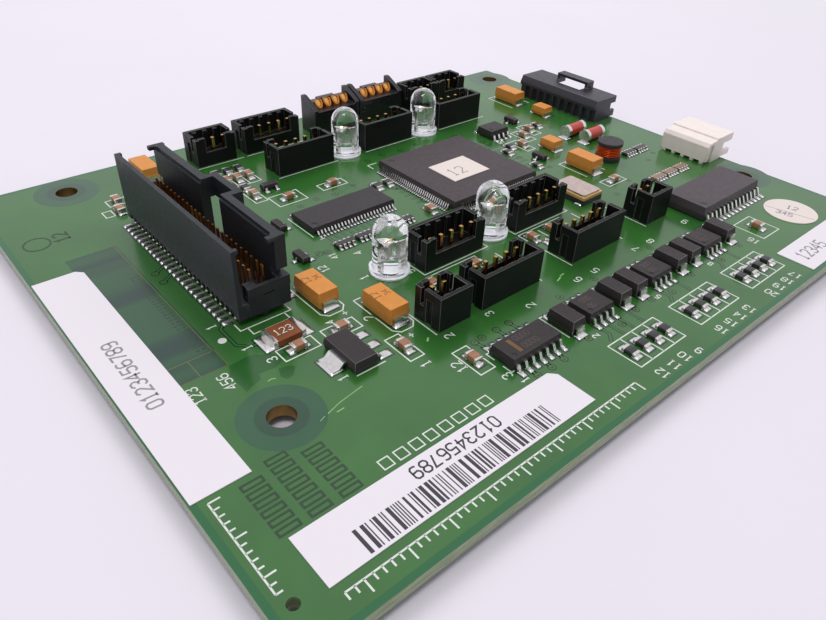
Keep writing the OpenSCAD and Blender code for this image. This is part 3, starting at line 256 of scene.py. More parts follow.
class Surface:
    """A Principled material with procedural colour, roughness and relief, in object space."""

    def __init__(self, name, color, rough, **sockets):
        self.mat = bpy.data.materials.new(name)
        self.mat.use_nodes = True
        self.tree = self.mat.node_tree
        self.shader = self.tree.nodes["Principled BSDF"]
        self.color = color
        self.rough = rough
        self.shader.inputs["Base Color"].default_value = color
        self.shader.inputs["Roughness"].default_value = rough
        for key, value in sockets.items():
            self.shader.inputs[key.replace("_", " ")].default_value = value
        self.coord = self.node("ShaderNodeTexCoord").outputs["Object"]
        self.normal = None

    def node(self, kind, **values):
        made = self.tree.nodes.new(kind)
        for key, value in values.items():
            setattr(made, key, value)
        return made

    def link(self, a, b):
        self.tree.links.new(a, b)

    def noise(self, per_mm, detail=3.0, stretch=None):
        """Noise with that many lumps per millimetre; stretch scales it along X, Y and Z."""
        made = self.node("ShaderNodeTexNoise")
        made.inputs["Scale"].default_value = per_mm / MM
        made.inputs["Detail"].default_value = detail
        source = self.coord
        if stretch:
            mapping = self.node("ShaderNodeMapping")
            mapping.inputs["Scale"].default_value = stretch
            self.link(source, mapping.inputs["Vector"])
            source = mapping.outputs["Vector"]
        self.link(source, made.inputs["Vector"])
        return made.outputs["Fac"]

    def patches(self, per_mm, detail=3.0, stretch=None):
        """Soft patches between 0 and 1."""
        return self.ramp(self.noise(per_mm, detail, stretch), 0.35, 0.65)

    def ramp(self, value, low, high, out_low=0.0, out_high=1.0):
        made = self.node("ShaderNodeMapRange")
        for key, v in (("From Min", low), ("From Max", high), ("To Min", out_low), ("To Max", out_high)):
            made.inputs[key].default_value = v
        self.link(value, made.inputs["Value"])
        return made.outputs["Result"]

    def mix(self, factor, a, b):
        """Colour a where the factor is 0 and b where it is 1; each is a colour or a socket."""
        made = self.node("ShaderNodeMix", data_type="RGBA")
        self.link(factor, made.inputs["Factor"])
        for key, value in (("A", a), ("B", b)):
            socket = next(s for s in made.inputs if s.name == key and s.type == "RGBA")
            if isinstance(value, tuple):
                socket.default_value = value
            else:
                self.link(value, socket)
        return next(s for s in made.outputs if s.type == "RGBA")

    def above(self, height_mm):
        """1 above a height and 0 below it."""
        return self.math("GREATER_THAN", self.axes()[2], height_mm * MM)

    def near(self, x, y, radius):
        """1 within a radius of a point of the board, given in board millimetres, and 0 beyond it."""
        made = self.node("ShaderNodeVectorMath", operation="DISTANCE")
        self.link(self.coord, made.inputs[0])
        made.inputs[1].default_value = world(x, y)
        return self.math("LESS_THAN", made.outputs["Value"], radius * MM)

    def math(self, operation, a, b=0.0):
        made = self.node("ShaderNodeMath", operation=operation)
        for i, value in enumerate((a, b)):
            if isinstance(value, (int, float)):
                made.inputs[i].default_value = value
            else:
                self.link(value, made.inputs[i])
        return made.outputs[0]

    def axes(self):
        made = self.node("ShaderNodeSeparateXYZ")
        self.link(self.coord, made.inputs[0])
        return made.outputs

    def paint(self, socket):
        self.link(socket, self.shader.inputs["Base Color"])
        return self

    def mottle(self, per_mm, amount, dark=None):
        """Colour that drifts towards a darker or given shade."""
        dark = dark or tuple(c * (1 - amount) for c in self.color[:3]) + (1.0,)
        return self.paint(self.mix(self.patches(per_mm), self.color, dark))

    def gloss(self, per_mm, spread):
        """Roughness that drifts by that much to either side."""
        low, high = max(0.02, self.rough - spread), self.rough + spread
        value = self.ramp(self.noise(per_mm, 2.0), 0.3, 0.7, low, high)
        self.link(value, self.shader.inputs["Roughness"])
        return self

    def relief(self, per_mm, depth_mm):
        """Bumps of about that depth, added to any relief already there."""
        bump = self.node("ShaderNodeBump")
        bump.inputs["Distance"].default_value = depth_mm * MM
        self.link(self.noise(per_mm, 2.0), bump.inputs["Height"])
        if self.normal:
            self.link(self.normal, bump.inputs["Normal"])
        self.normal = bump.outputs["Normal"]
        self.link(self.normal, self.shader.inputs["Normal"])
        return self


def moulded(name, color, rough, grain=9.0, depth=0.003, drift=0.12, specular=0.5):
    """Moulded plastic or epoxy: fine grain, slightly uneven gloss."""
    made = Surface(name, color, rough, Specular_IOR_Level=specular)
    made.mottle(0.8, drift).gloss(1.5, 0.06).relief(grain, depth)
    return made.mat


def moulded_in_two(name, color, other, picks, rough, depth=0.002):
    """Moulded or paper pieces in one colour, with another colour for those near the picks."""
    made = Surface(name, color, rough)
    chosen = made.near(*picks[0])
    for pick in picks[1:]:
        chosen = made.math("MAXIMUM", chosen, made.near(*pick))
    made.paint(made.mix(chosen, color, other)).gloss(1.5, 0.06).relief(12.0, depth)
    return made.mat


def metal(name, color, rough, depth=0.002, per_mm=1.2):
    """Plated or reflowed metal: bright, with soft dents and changing polish."""
    made = Surface(name, color, rough, Metallic=1.0)
    made.mottle(1.5, 0.12).gloss(1.5, 0.06).relief(per_mm, depth)
    return made.mat


MASK_IOR = 1.62
MASK_ROUGH = 0.2


def mask(name, color, dark):
    """Green solder mask: glossy lacquer with slow waves in its surface."""
    made = Surface(name, color, MASK_ROUGH, IOR=MASK_IOR)
    made.mottle(0.12, 0.2, dark).gloss(0.5, 0.04).relief(0.25, 0.004).relief(3.0, 0.0006)
    return made.mat


MASK_GREEN = rgb(50, 104, 42)
MASK_DEEP = rgb(44, 95, 40)
MASK_BARE = rgb(16, 92, 46)
BARE_RIM = 0.8


def board_material():
    """Mask over copper on the faces, a copper-free band along the rim, and bare laminate edges."""
    made = Surface("laminate", MASK_GREEN, MASK_ROUGH, IOR=MASK_IOR)
    axes = made.axes()
    middle = (BOARD[0] / 2 - DATUM[0], BOARD[1] / 2 - DATUM[1])
    inside = [BOARD[0] / 2 - BARE_RIM, BOARD[1] / 2 - BARE_RIM]
    over = []
    for axis in (0, 1):
        off = made.math("ABSOLUTE", made.math("SUBTRACT", axes[axis], middle[axis] * MM))
        over.append(made.math("GREATER_THAN", off, inside[axis] * MM))
    band = made.math("MAXIMUM", *over)
    faces = made.mix(made.patches(0.1), MASK_GREEN, MASK_DEEP)
    faces = made.mix(band, faces, MASK_BARE)
    layers = made.patches(0.4, 2.0, (1.0, 1.0, 16.0))
    sides = made.mix(layers, rgb(150, 162, 122), rgb(104, 124, 78))
    geometry = made.node("ShaderNodeNewGeometry")
    normal = made.node("ShaderNodeSeparateXYZ")
    made.link(geometry.outputs["Normal"], normal.inputs[0])
    flat = made.math("GREATER_THAN", made.math("ABSOLUTE", normal.outputs[2]), 0.5)
    made.paint(made.mix(flat, sides, faces))
    made.relief(0.25, 0.004).relief(3.0, 0.0006)
    return made.mat


def two_metals(name, upper, lower, split_mm, rough):
    """One metal above a height and another below it."""
    made = Surface(name, upper, rough, Metallic=1.0)
    shade = made.mix(made.patches(3.0), lower, tuple(c * 0.75 for c in lower))
    made.paint(made.mix(made.above(split_mm), shade, upper)).gloss(1.5, 0.06).relief(1.5, 0.002)
    return made.mat


def banded(name, upper, lower, split_mm, rough):
    """A moulded body with a gilded band above a height."""
    made = Surface(name, lower, rough)
    made.paint(made.mix(made.above(split_mm), lower, upper)).gloss(1.5, 0.06).relief(5.0, 0.002)
    return made.mat


LENS_SHADOW = 0.12


def clear_epoxy(name):
    """Water-clear cast epoxy that lets the lamps' light through to what stands inside it."""
    made = Surface(name, rgb(244, 248, 248), 0.02, IOR=1.5, Transmission_Weight=1.0)
    made.mottle(0.5, 0.04)
    path = made.node("ShaderNodeLightPath")
    alpha = made.ramp(path.outputs["Is Shadow Ray"], 0.0, 1.0, 1.0, LENS_SHADOW)
    made.link(alpha, made.shader.inputs["Alpha"])
    return made.mat


TIN = rgb(222, 220, 218)
GOLD = rgb(206, 160, 92)
GLOSS_BLACK = rgb(18, 20, 20)
RESISTOR_BLACK, ARRAY_TAN = rgb(44, 42, 46), rgb(140, 112, 92)
TAN_ARRAYS = [(102.2, 32.8, 6.0)]
PAPER, CREAM_PAPER = rgb(229, 223, 230), rgb(226, 214, 208)
CREAM_LABELS = [(106.0, 11.6, 4.6), (69.0, 55.0, 8.0)]

MATERIALS = {
    "laminate": board_material(),
    "bright_plating": metal("bright_plating", rgb(150, 122, 74), 0.4),
    "solder": metal("solder", rgb(228, 227, 226), 0.24, 0.004, 0.9),
    "tall_housing": moulded("tall_housing", rgb(34, 38, 42), 0.46, 7.0, 0.008, 0.12, 0.4),
    "contact_gold": two_metals("contact_gold", rgb(184, 120, 58), rgb(216, 212, 210), 1.4, 0.4),
    "header_black": moulded("header_black", GLOSS_BLACK, 0.38, 5.0, 0.002, 0.12, 0.18),
    "pin_plating": metal("pin_plating", GOLD, 0.22),
    "socket_black": moulded("socket_black", rgb(24, 23, 27), 0.32, 5.0, 0.002),
    "side_housing": moulded("side_housing", rgb(34, 33, 41), 0.38, 5.0, 0.002),
    "power_white": moulded("power_white", rgb(240, 229, 222), 0.42, 4.0, 0.003, 0.05),
    "power_pin_tin": metal("power_pin_tin", rgb(204, 200, 194), 0.25),
    "clear_lens": clear_epoxy("clear_lens"),
    "lamp_metal": metal("lamp_metal", rgb(232, 230, 226), 0.2),
    "processor_mould": moulded("processor_mould", rgb(66, 58, 61), 0.5, 14.0, 0.003, 0.06, 0.35),
    "lead_tin": metal("lead_tin", TIN, 0.24),
    "memory_mould": moulded("memory_mould", rgb(54, 50, 53), 0.5, 14.0, 0.003, 0.06, 0.35),
    "chip_mould": moulded("chip_mould", rgb(46, 41, 42), 0.48, 14.0, 0.003, 0.08, 0.35),
    "driver_mould": moulded("driver_mould", rgb(68, 60, 65), 0.5, 14.0, 0.003, 0.08),
    "tantalum_yellow": moulded("tantalum_yellow", rgb(212, 138, 56), 0.42, 10.0, 0.004, 0.08),
    "ceramic_brown": moulded("ceramic_brown", rgb(158, 112, 82), 0.4, 8.0, 0.004),
    "resistor_black": moulded_in_two("resistor_black", RESISTOR_BLACK, ARRAY_TAN, TAN_ARRAYS, 0.3),
    "end_tin": metal("end_tin", rgb(224, 220, 214), 0.28, 0.004),
    "fuse_brown": moulded("fuse_brown", rgb(132, 76, 44), 0.4, 6.0, 0.003, 0.12, 0.25),
    "oscillator_ceramic": banded("oscillator_ceramic", rgb(214, 174, 112), rgb(52, 46, 48), 0.95, 0.35),
    "oscillator_metal": metal("oscillator_metal", rgb(212, 194, 184), 0.32),
    "coil_ferrite": moulded("coil_ferrite", rgb(38, 36, 38), 0.5),
    "coil_wire": metal("coil_wire", rgb(176, 66, 30), 0.3),
    "glass_red": moulded("glass_red", rgb(196, 70, 60), 0.15, 4.0, 0.002),
    "cap_silver": metal("cap_silver", rgb(226, 224, 222), 0.24),
    "label_paper": moulded_in_two("label_paper", PAPER, CREAM_PAPER, CREAM_LABELS, 0.55),
}

# Painted highlights: the bevelled edges of the mouldings get a paler colour of their own, standing in for the
# light that sharp edges catch.
PAINTED_EDGE_HIGHLIGHTS = {
    "tall_housing": moulded("tall_housing_painted_highlight", rgb(104, 102, 108), 0.4),
    "header_black": moulded("header_black_painted_highlight", rgb(116, 114, 112), 0.35),
    "socket_black": moulded("socket_black_painted_highlight", rgb(92, 90, 96), 0.35),
    "side_housing": moulded("side_housing_painted_highlight", rgb(86, 84, 96), 0.35),
    "processor_mould": moulded("processor_mould_painted_highlight", rgb(92, 84, 88), 0.45),
    "chip_mould": moulded("chip_mould_painted_highlight", rgb(104, 96, 98), 0.45),
    "driver_mould": moulded("driver_mould_painted_highlight", rgb(104, 94, 100), 0.45),
}

BEVELS = {
    "tall_housing": 0.1,
    "header_black": 0.045,
    "socket_black": 0.05,
    "side_housing": 0.09,
    "power_white": 0.14,
    "processor_mould": 0.05,
    "memory_mould": 0.04,
    "chip_mould": 0.06,
    "driver_mould": 0.07,
    "tantalum_yellow": 0.06,
    "ceramic_brown": 0.06,
    "resistor_black": 0.03,
    "fuse_brown": 0.06,
    "oscillator_metal": 0.08,
    "end_tin": 0.07,
    "coil_ferrite": 0.08,
}

WELD_DISTANCE = 1e-6

for part in frame["record"]["subparts"]:
    node, slot_name = frame["nodes"][part["node"]], part["material_slot"]
    node.data.materials.clear()
    node.data.materials.append(MATERIALS[slot_name])
    if slot_name in BEVELS:
        if "custom_normal" in node.data.attributes:
            node.data.attributes.remove(node.data.attributes["custom_normal"])
        node.data.polygons.foreach_set("use_smooth", [True] * len(node.data.polygons))
        weld = node.modifiers.new("weld", "WELD")
        weld.merge_threshold = WELD_DISTANCE
        add_bevel(node, BEVELS[slot_name])
        # The bevel faces take the paler second material: a painted highlight along each edge.
        if slot_name in PAINTED_EDGE_HIGHLIGHTS:
            node.data.materials.append(PAINTED_EDGE_HIGHLIGHTS[slot_name])
            node.modifiers["soft_edges"].material = 1
        weighted = node.modifiers.new("flat_faces", "WEIGHTED_NORMAL")
        weighted.weight = 100
        weighted.keep_sharp = True


# ---------------------------------------------------------------- copper under the mask

MASK_OVER_GAP = mask("mask_over_gap", rgb(20, 62, 30), rgb(16, 54, 28))
MASK_OVER_RING = mask("mask_over_ring", rgb(34, 84, 52), rgb(30, 78, 48))
MASK_OVER_INNER = mask("mask_over_inner", rgb(24, 68, 44), rgb(22, 62, 42))
MASK_OVER_TRACK = mask("mask_over_track", rgb(54, 108, 46), rgb(46, 98, 42))
VIA_WALL = metal("via_wall", rgb(110, 84, 52), 0.4)
INK = moulded("white_ink", rgb(222, 226, 220), 0.5, 12.0, 0.004)
PRINT_GREY = moulded("printed_grey", rgb(150, 146, 152), 0.6)
PRINT_BLACK = moulded("printed_black", rgb(58, 54, 62), 0.55)
PRINT_BROWN = moulded("printed_brown", rgb(120, 74, 30), 0.5)
LASER_MARK = moulded("laser_mark", rgb(82, 70, 64), 0.6)
LASER_BAR = moulded("laser_bar", rgb(108, 80, 42), 0.55)
STAMP_BLACK = moulded("stamp_black", rgb(36, 62, 38), 0.4)

# Lowest and highest point of each layer on the component face. They step up, so none coincide.
BARE_Z = (0.0, 0.002)
LAND_Z = WINDOW_Z = (0.0, 0.003)
GAP_Z = (0.0, 0.004)
COLLAR_Z = (0.0, 0.005)
WELL_Z = (0.0, 0.006)
SCRATCH_Z = (0.0, 0.007)
LADDER_Z = (0.0, 0.009)
STAMP_Z = (0.0, 0.01)
TRACK_Z = FRAME_Z = (0.0, 0.012)
VIA_Z = (0.0, 0.014)
INK_Z = (0.0, 0.022)

# Radii of the copper round each mounting hole and of a via, its land and the gap round it.
HOLE_R, COLLAR_R, LAND_R = 1.71, 3.0, 5.0
WELL_R, VIA_R, VIA_GAP_R = 0.2, 0.42, 0.6
PAD_GAP = 0.22
TRACK_GAP_W, TRACK_W = 0.62, 0.24

pads = [b for b in islands("solder") if b[0][2] > -0.2]

gaps = Shape()
for low, high in pads:
    gaps.rect(low[0] - PAD_GAP, low[1] - PAD_GAP, high[0] + PAD_GAP, high[1] + PAD_GAP, *GAP_Z)

rings, cores = Shape(), Shape()
for hx, hy in HOLES:
    rings.ring(hx, hy, COLLAR_R, LAND_R, *LAND_Z, 72)
    cores.ring(hx, hy, HOLE_R, COLLAR_R, *COLLAR_Z, 64)
rings.build("hole_lands", MASK_OVER_RING, "laminate")
cores.build("hole_collars", MASK_OVER_INNER, "laminate")

VIAS = [
    (14.3, 58.0), (14.3, 55.4), (38.6, 19.9), (40.0, 20.0), (42.6, 20.0), (44.9, 20.0),
    (40.2, 10.9), (42.6, 10.8), (45.0, 10.9), (36.4, 48.4), (54.8, 19.6), (60.7, 11.4),
    (50.6, 11.5), (56.5, 10.6), (64.5, 11.5), (68.4, 10.7), (74.6, 11.5), (35.2, 48.8),
    (62.2, 19.6), (76.2, 19.5), (82.0, 10.8), (88.2, 11.4), (92.0, 17.0),
    (57.9, 48.6), (58.6, 52.0), (56.0, 45.0), (41.0, 62.5), (44.5, 63.1), (48.0, 62.7),
    (52.4, 63.4), (60.5, 69.8), (64.2, 70.3), (68.4, 69.9), (72.6, 70.2), (81.6, 68.8),
    (84.0, 63.4), (83.4, 58.6), (84.6, 54.0), (86.2, 48.0), (88.0, 41.6), (95.2, 47.2),
    (99.5, 48.4), (104.6, 47.4), (95.6, 60.6), (98.3, 62.0), (101.4, 60.4), (96.0, 66.6),
    (99.8, 70.4), (91.0, 71.6), (107.8, 40.0), (104.2, 38.6), (93.4, 35.6), (87.2, 33.6),
    (33.2, 64.6), (31.2, 68.2), (33.6, 70.4), (30.2, 74.6), (33.2, 80.6), (29.0, 56.2),
]
via_lands, via_wells = Shape(), Shape()
for vx, vy in VIAS:
    gaps.ring(vx, vy, VIA_R, VIA_GAP_R, *GAP_Z, 20)
    via_lands.ring(vx, vy, WELL_R, VIA_R, *VIA_Z, 20)
    via_wells.disc(vx, vy, WELL_R, *WELL_Z, 14)
via_lands.build("via_lands", MASK_OVER_TRACK, "laminate")
via_wells.build("via_wells", VIA_WALL, "laminate")

# Tracks: each is a list of corners. A copper-free line runs along both of its sides.
TRACKS = [
    [(15.9, 42.0), (15.3, 41.4), (15.3, 37.5), (16.6, 36.2), (18.0, 36.2)],
    [(14.3, 58.0), (16.2, 59.2)], [(14.3, 55.4), (16.2, 56.7)],
    [(38.6, 19.9), (38.9, 18.4)], [(42.6, 20.0), (42.7, 18.6)], [(44.9, 20.0), (45.1, 18.6)],
    [(40.2, 10.9), (40.1, 12.2)], [(42.6, 10.8), (42.7, 12.2)], [(45.0, 10.9), (45.2, 12.2)],
    [(53.5, 12.4), (53.5, 10.4), (52.4, 9.3)], [(55.0, 12.4), (55.0, 9.2)],
    [(57.2, 12.4), (57.2, 9.2)], [(59.4, 12.4), (59.4, 9.2)],
    [(67.2, 12.4), (67.2, 10.2), (66.2, 9.2)], [(71.0, 12.4), (71.0, 9.2)],
    [(80.9, 12.4), (80.9, 10.2), (79.8, 9.2)], [(84.6, 12.4), (84.6, 9.2)],
    [(36.4, 48.4), (33.8, 48.2)],
    [(54.6, 58.8), (56.8, 58.8), (58.4, 57.2)],
]
TRACKS += [[(38.2 + 0.635 * i, 52.2), (38.2 + 0.635 * i, 50.2)] for i in range(1, 23, 2)]
TRACKS += [[(82.2, 48.2 + 0.5 * i), (84.0 + 0.12 * i, 48.2 + 0.5 * i)] for i in range(0, 30, 3)]
TRACKS += [[(57.0, 49.0 + 0.5 * i), (59.0, 49.0 + 0.5 * i)] for i in range(0, 26, 3)]
tracks = Shape()
for line in TRACKS:
    gaps.stroke(line, TRACK_GAP_W, *GAP_Z)
    tracks.stroke(line, TRACK_W, *TRACK_Z)
tracks.build("tracks", MASK_OVER_TRACK, "laminate")

# Bare laminate where the copper stops short, and the marks that handling has left.
bare = Shape()
bare.prism([(12.2, 29.5), (13.0, 29.9), (14.5, 30.4), (14.8, 31.3), (17.0, 31.1), (19.7, 32.4),
            (15.6, 34.9), (12.8, 34.7), (12.0, 33.0)], *BARE_Z)
bare.prism([(16.9, 28.5), (17.9, 28.8), (18.8, 29.9), (18.4, 30.4), (17.0, 30.7), (16.5, 29.3)], *BARE_Z)
bare.build("bare_laminate", mask("mask_bare", rgb(26, 88, 24), rgb(22, 80, 22)), "laminate")
scratches = Shape()
for line, width in [
    ([(17.3, 21.1), (19.2, 21.7), (21.0, 22.0), (22.9, 22.3)], 0.1), ([(18.2, 20.7), (19.2, 20.75)], 0.14),
    ([(16.0, 20.7), (16.8, 21.0)], 0.08), ([(14.9, 29.6), (15.4, 29.7), (15.9, 29.5)], 0.12),
    ([(34.1, 23.7), (34.7, 24.2)], 0.24), ([(57.6, 22.4), (58.8, 22.8)], 0.2),
    ([(58.9, 23.0), (59.9, 23.1)], 0.16),
]:
    scratches.stroke(line, width, *SCRATCH_Z)
scratches.build("scratches", moulded("scratched_mask", rgb(150, 190, 120), 0.4), "laminate")

# A window in the copper beside the long label, with a ladder of fine test lines.
window = Shape()
window.rect(5.7, 34.8, 12.9, 68.4, *WINDOW_Z)
window_look = Surface("mask_window", MASK_BARE, MASK_ROUGH, IOR=MASK_IOR)
banks = window_look.ramp(window_look.noise(0.22, 1.0, (0.02, 1.0, 1.0)), 0.42, 0.58)
window_look.paint(window_look.mix(banks, rgb(30, 78, 44), rgb(14, 54, 44))).relief(0.25, 0.004)
window.build("copper_window", window_look.mat, "laminate")
gaps.build("copper_gaps", MASK_OVER_GAP, "laminate")
ladder, boxes = Shape(), Shape()
for i in range(27):
    y = 39.2 + i * 0.75
    for x in (11.0, 11.7):
        ladder.rect(x, y, x + 0.5, y + 0.34, *LADDER_Z)
ladder.build("test_ladder", MASK_OVER_GAP, "laminate")
boxes.frame(5.8, 34.9, 12.8, 38.3, 0.16, *FRAME_Z)
boxes.stroke([(9.35, 35.0), (9.35, 38.2)], 0.14, *FRAME_Z)
boxes.stroke([(12.6, 38.3), (12.6, 68.2)], 0.14, *FRAME_Z)
boxes.build("test_frames", mask("mask_frame", rgb(96, 104, 48), rgb(84, 94, 44)), "laminate")


# ---------------------------------------------------------------- printing

# Strokes of each digit on a grid 4 wide and 6 high.
DIGIT_H = 6
DIGIT_STEP = 5.6
DIGIT_NARROW = 0.86
DIGITS = {
    "0": [[(1, 0), (3, 0), (4, 1), (4, 5), (3, 6), (1, 6), (0, 5), (0, 1), (1, 0)]],
    "1": [[(0.8, 4.8), (2, 6), (2, 0)], [(0.8, 0), (3.2, 0)]],
    "2": [[(0, 5), (1, 6), (3, 6), (4, 5), (4, 3.8), (0, 0), (4, 0)]],
    "3": [
        [(0, 5), (1, 6), (3, 6), (4, 5), (4, 4), (3, 3), (1.6, 3)],
        [(3, 3), (4, 2), (4, 1), (3, 0), (1, 0), (0, 1)],
    ],
    "4": [[(3, 0), (3, 6), (0, 2), (4, 2)]],
    "5": [[(4, 6), (0.4, 6), (0, 3.2), (3, 3.4), (4, 2.6), (4, 1), (3, 0), (1, 0), (0, 0.8)]],
    "6": [[(3.6, 5.6), (2.6, 6), (1, 6), (0, 5), (0, 1), (1, 0), (3, 0), (4, 1), (4, 2.4), (3, 3.4), (0, 3)]],
    "7": [[(0, 6), (4, 6), (1.4, 0)]],
    "8": [
        [(1, 3), (0, 4), (0, 5), (1, 6), (3, 6), (4, 5), (4, 4), (3, 3), (1, 3)],
        [(1, 3), (0, 2), (0, 1), (1, 0), (3, 0), (4, 1), (4, 2), (3, 3)],
    ],
    "9": [[(0.4, 0.4), (1.4, 0), (3, 0), (4, 1), (4, 5), (3, 6), (1, 6), (0, 5), (0, 3.6), (1, 2.6), (4, 3)]],
    "+": [[(0, 3), (4, 3)], [(2, 1), (2, 5)]],
}


def number(shape, text, x, y, height, turn, width, z):
    """Writes digits from (x, y) in the direction turn, in degrees, between the heights z."""
    c, s = math.cos(math.radians(turn)), math.sin(math.radians(turn))
    unit_size = height / DIGIT_H
    for k, digit in enumerate(text):
        for line in DIGITS[digit]:
            pts = []
            for u, v in line:
                u, v = (u + DIGIT_STEP * k) * unit_size * DIGIT_NARROW, v * unit_size
                pts.append((x + c * u - s * v, y + s * u + c * v))
            shape.stroke(pts, width, *z)


INK_W = 0.17
DIGIT_W = 0.16
GROUP_X, GROUP_STEP, GROUP_CELL = 51.2, 13.6, 2.45
GROUP_Y = (4.03, 8.97)

ink = Shape()
for box in [
    (18.4, 31.2, 23.4, 33.6), (24.8, 31.1, 29.7, 33.5), (30.0, 22.1, 32.2, 27.1), (34.9, 15.1, 37.3, 20.1),
    (93.4, 9.9, 98.4, 15.1), (43.7, 35.0, 56.4, 40.6), (62.5, 35.0, 75.2, 40.6),
    (38.3, 64.2, 43.6, 68.0), (15.0, 77.0, 16.4, 79.0), (47.2, 64.8, 52.2, 67.0), (88.5, 36.1, 93.5, 38.3),
    (62.5, 41.3, 67.5, 43.5), (35.8, 67.5, 38.0, 72.5), (34.5, 74.5, 40.9, 79.5), (91.8, 58.1, 94.0, 63.1),
    (95.1, 59.6, 97.3, 64.6), (88.1, 55.1, 90.3, 60.1), (16.8, 80.1, 19.8, 82.3),
]:
    ink.frame(*box, INK_W, *INK_Z)
for i in range(3):
    left = GROUP_X + GROUP_STEP * i
    ink.frame(left, GROUP_Y[0], left + 4 * GROUP_CELL, GROUP_Y[1], INK_W, *INK_Z)
    for j in (1, 2, 3):
        ink.stroke([(left + GROUP_CELL * j, y) for y in GROUP_Y], INK_W, *INK_Z)
for line in [
    [(17.1, 41.2), (17.1, 39.6), (24.4, 39.6), (24.4, 41.2)],
    [(18.1, 39.6), (18.1, 38.1), (23.4, 38.1), (23.4, 39.6)],
    [(26.8, 44.6), (26.8, 36.3), (27.6, 35.4), (29.7, 35.4), (30.5, 36.3), (30.5, 44.6)],
    [(32.0, 36.2), (32.0, 28.0), (32.8, 27.1), (34.7, 27.1), (35.5, 28.0), (35.5, 36.2)],
    [(32.0, 36.2), (33.2, 36.2)], [(23.4, 24.0), (27.7, 24.0)],
    [(38.6, 17.4), (38.1, 17.4), (38.1, 16.0)], [(38.1, 14.6), (38.1, 13.2), (38.6, 13.2)],
    [(49.4, 18.2), (48.8, 18.2), (48.8, 13.1)],
    [(43.3, 34.35), (52.9, 34.35), (52.9, 33.0)], [(62.5, 34.35), (72.4, 34.35)],
    [(62.5, 23.7), (62.5, 34.3)], [(81.4, 23.8), (81.4, 34.3)], [(35.9, 23.9), (35.9, 34.0)],
    [(55.9, 23.8), (55.9, 33.0)], [(75.0, 23.8), (75.0, 34.0)],
    [(43.6, 73.1), (56.2, 73.1)], [(62.6, 73.1), (75.0, 73.1)], [(81.4, 73.1), (94.0, 73.1)],
    [(34.2, 84.4), (43.2, 84.4)], [(43.8, 84.4), (56.2, 84.4)],
    [(59.2, 66.5), (59.2, 68.2), (61.2, 68.2)],
    [(37.1, 60.2), (37.1, 53.0)], [(38.4, 51.9), (37.6, 51.9)],
    [(88.4, 41.0), (88.4, 47.6), (93.6, 47.6), (93.6, 41.0)],
    [(102.9, 72.8), (102.9, 80.0), (108.4, 80.0), (108.4, 72.8)],
    [(36.65, 74.5), (36.65, 79.5)], [(38.8, 74.5), (38.8, 79.5)],
    [(51.7, 31.2), (51.7, 33.8)], [(66.3, 31.0), (66.3, 33.6)],
]:
    ink.stroke(line, INK_W, *INK_Z)
for text, x, y, height, turn in [
    ("1", 16.7, 35.9, 1.2, 90), ("3", 17.9, 32.2, 1.2, 90), ("4", 27.4, 34.0, 1.0, 90),
    ("2", 32.0, 31.6, 1.3, 90), ("1", 31.8, 20.3, 1.3, 90), ("12", 34.6, 16.9, 1.3, 90),
    ("3", 37.9, 12.7, 1.3, 90), ("1", 38.9, 11.0, 1.0, 90), ("1", 22.6, 24.4, 1.2, 90),
    ("1", 15.2, 42.2, 1.1, 90), ("2", 37.6, 22.5, 1.2, 90), ("3", 45.0, 22.6, 1.2, 90),
    ("2", 50.8, 20.5, 1.3, 90), ("6", 60.9, 20.5, 1.3, 90), ("5", 64.8, 20.4, 1.3, 90),
    ("7", 74.8, 20.3, 1.3, 90), ("8", 78.6, 20.3, 1.3, 90), ("9", 88.6, 20.4, 1.3, 90),
    ("4", 40.4, 45.1, 1.2, 90), ("1", 37.2, 39.4, 1.2, 90), ("5", 43.3, 36.6, 1.1, 90),
    ("+", 29.2, 34.1, 1.2, 0), ("+", 33.0, 25.3, 1.2, 0), ("2", 52.2, 11.0, 0.9, 90),
    ("5", 66.2, 11.0, 0.9, 90), ("8", 80.0, 11.0, 0.9, 90), ("41", 36.9, 46.2, 1.0, 90),
    ("123", 8.1, 31.0, 1.3, 90), ("456", 11.9, 31.0, 1.3, 90), ("12", 33.9, 44.2, 1.1, 90),
    ("51", 87.6, 60.8, 1.2, 90), ("16", 92.0, 9.8, 1.2, 90),
]:
    number(ink, text, x, y, height, turn, DIGIT_W, INK_Z)
for i in range(3):
    for j in range(4):
        x = GROUP_X + 1.7 + GROUP_STEP * i + GROUP_CELL * j
        number(ink, str(12 + 4 * i - j), x, 1.0, 1.15, 90, DIGIT_W, INK_Z)


SCALE_W = 0.2
SHORT_TICK = 0.55


def scale_bar(start, count, along, tick):
    """A plain scale in millimetres: short ticks, and a long one at every fifth."""
    ux, uy = along
    for i in range(count + 1):
        size = tick * (1.0 if i % 5 == 0 else SHORT_TICK)
        x, y = start[0] + ux * i, start[1] + uy * i
        ink.stroke([(x, y), (x - uy * size, y + ux * size)], SCALE_W, *INK_Z)
    ink.stroke([start, (start[0] + ux * count, start[1] + uy * count)], SCALE_W, *INK_Z)


scale_bar((48.2, 2.9), 42, (-1, 0), 1.5)
scale_bar((1.6, 18.4), 12, (0, -1), 1.3)
for i in range(8):
    x = 17.2 + 2.05 * i
    ink.frame(x, 11.1, x + 1.3, 12.4, 0.15, *INK_Z)
ink.disc(14.4, 39.3, 0.55, *INK_Z)
ink.build("white_print", INK, "laminate")

stamp = Shape()
number(stamp, "12", 8.6, 74.2, 1.9, 90, 0.3, INK_Z)
stamp.ring(4.2, 75.4, 1.7, 1.95, *INK_Z)
for row, count in ((4.9, 6), (8.4, 7), (12.0, 6)):
    for i in range(count):
        stamp.frame(row, 11.0 + 1.3 * i, row + 2.3, 11.7 + 1.3 * i, 0.26, *STAMP_Z)
stamp.build("test_bars", STAMP_BLACK, "laminate")

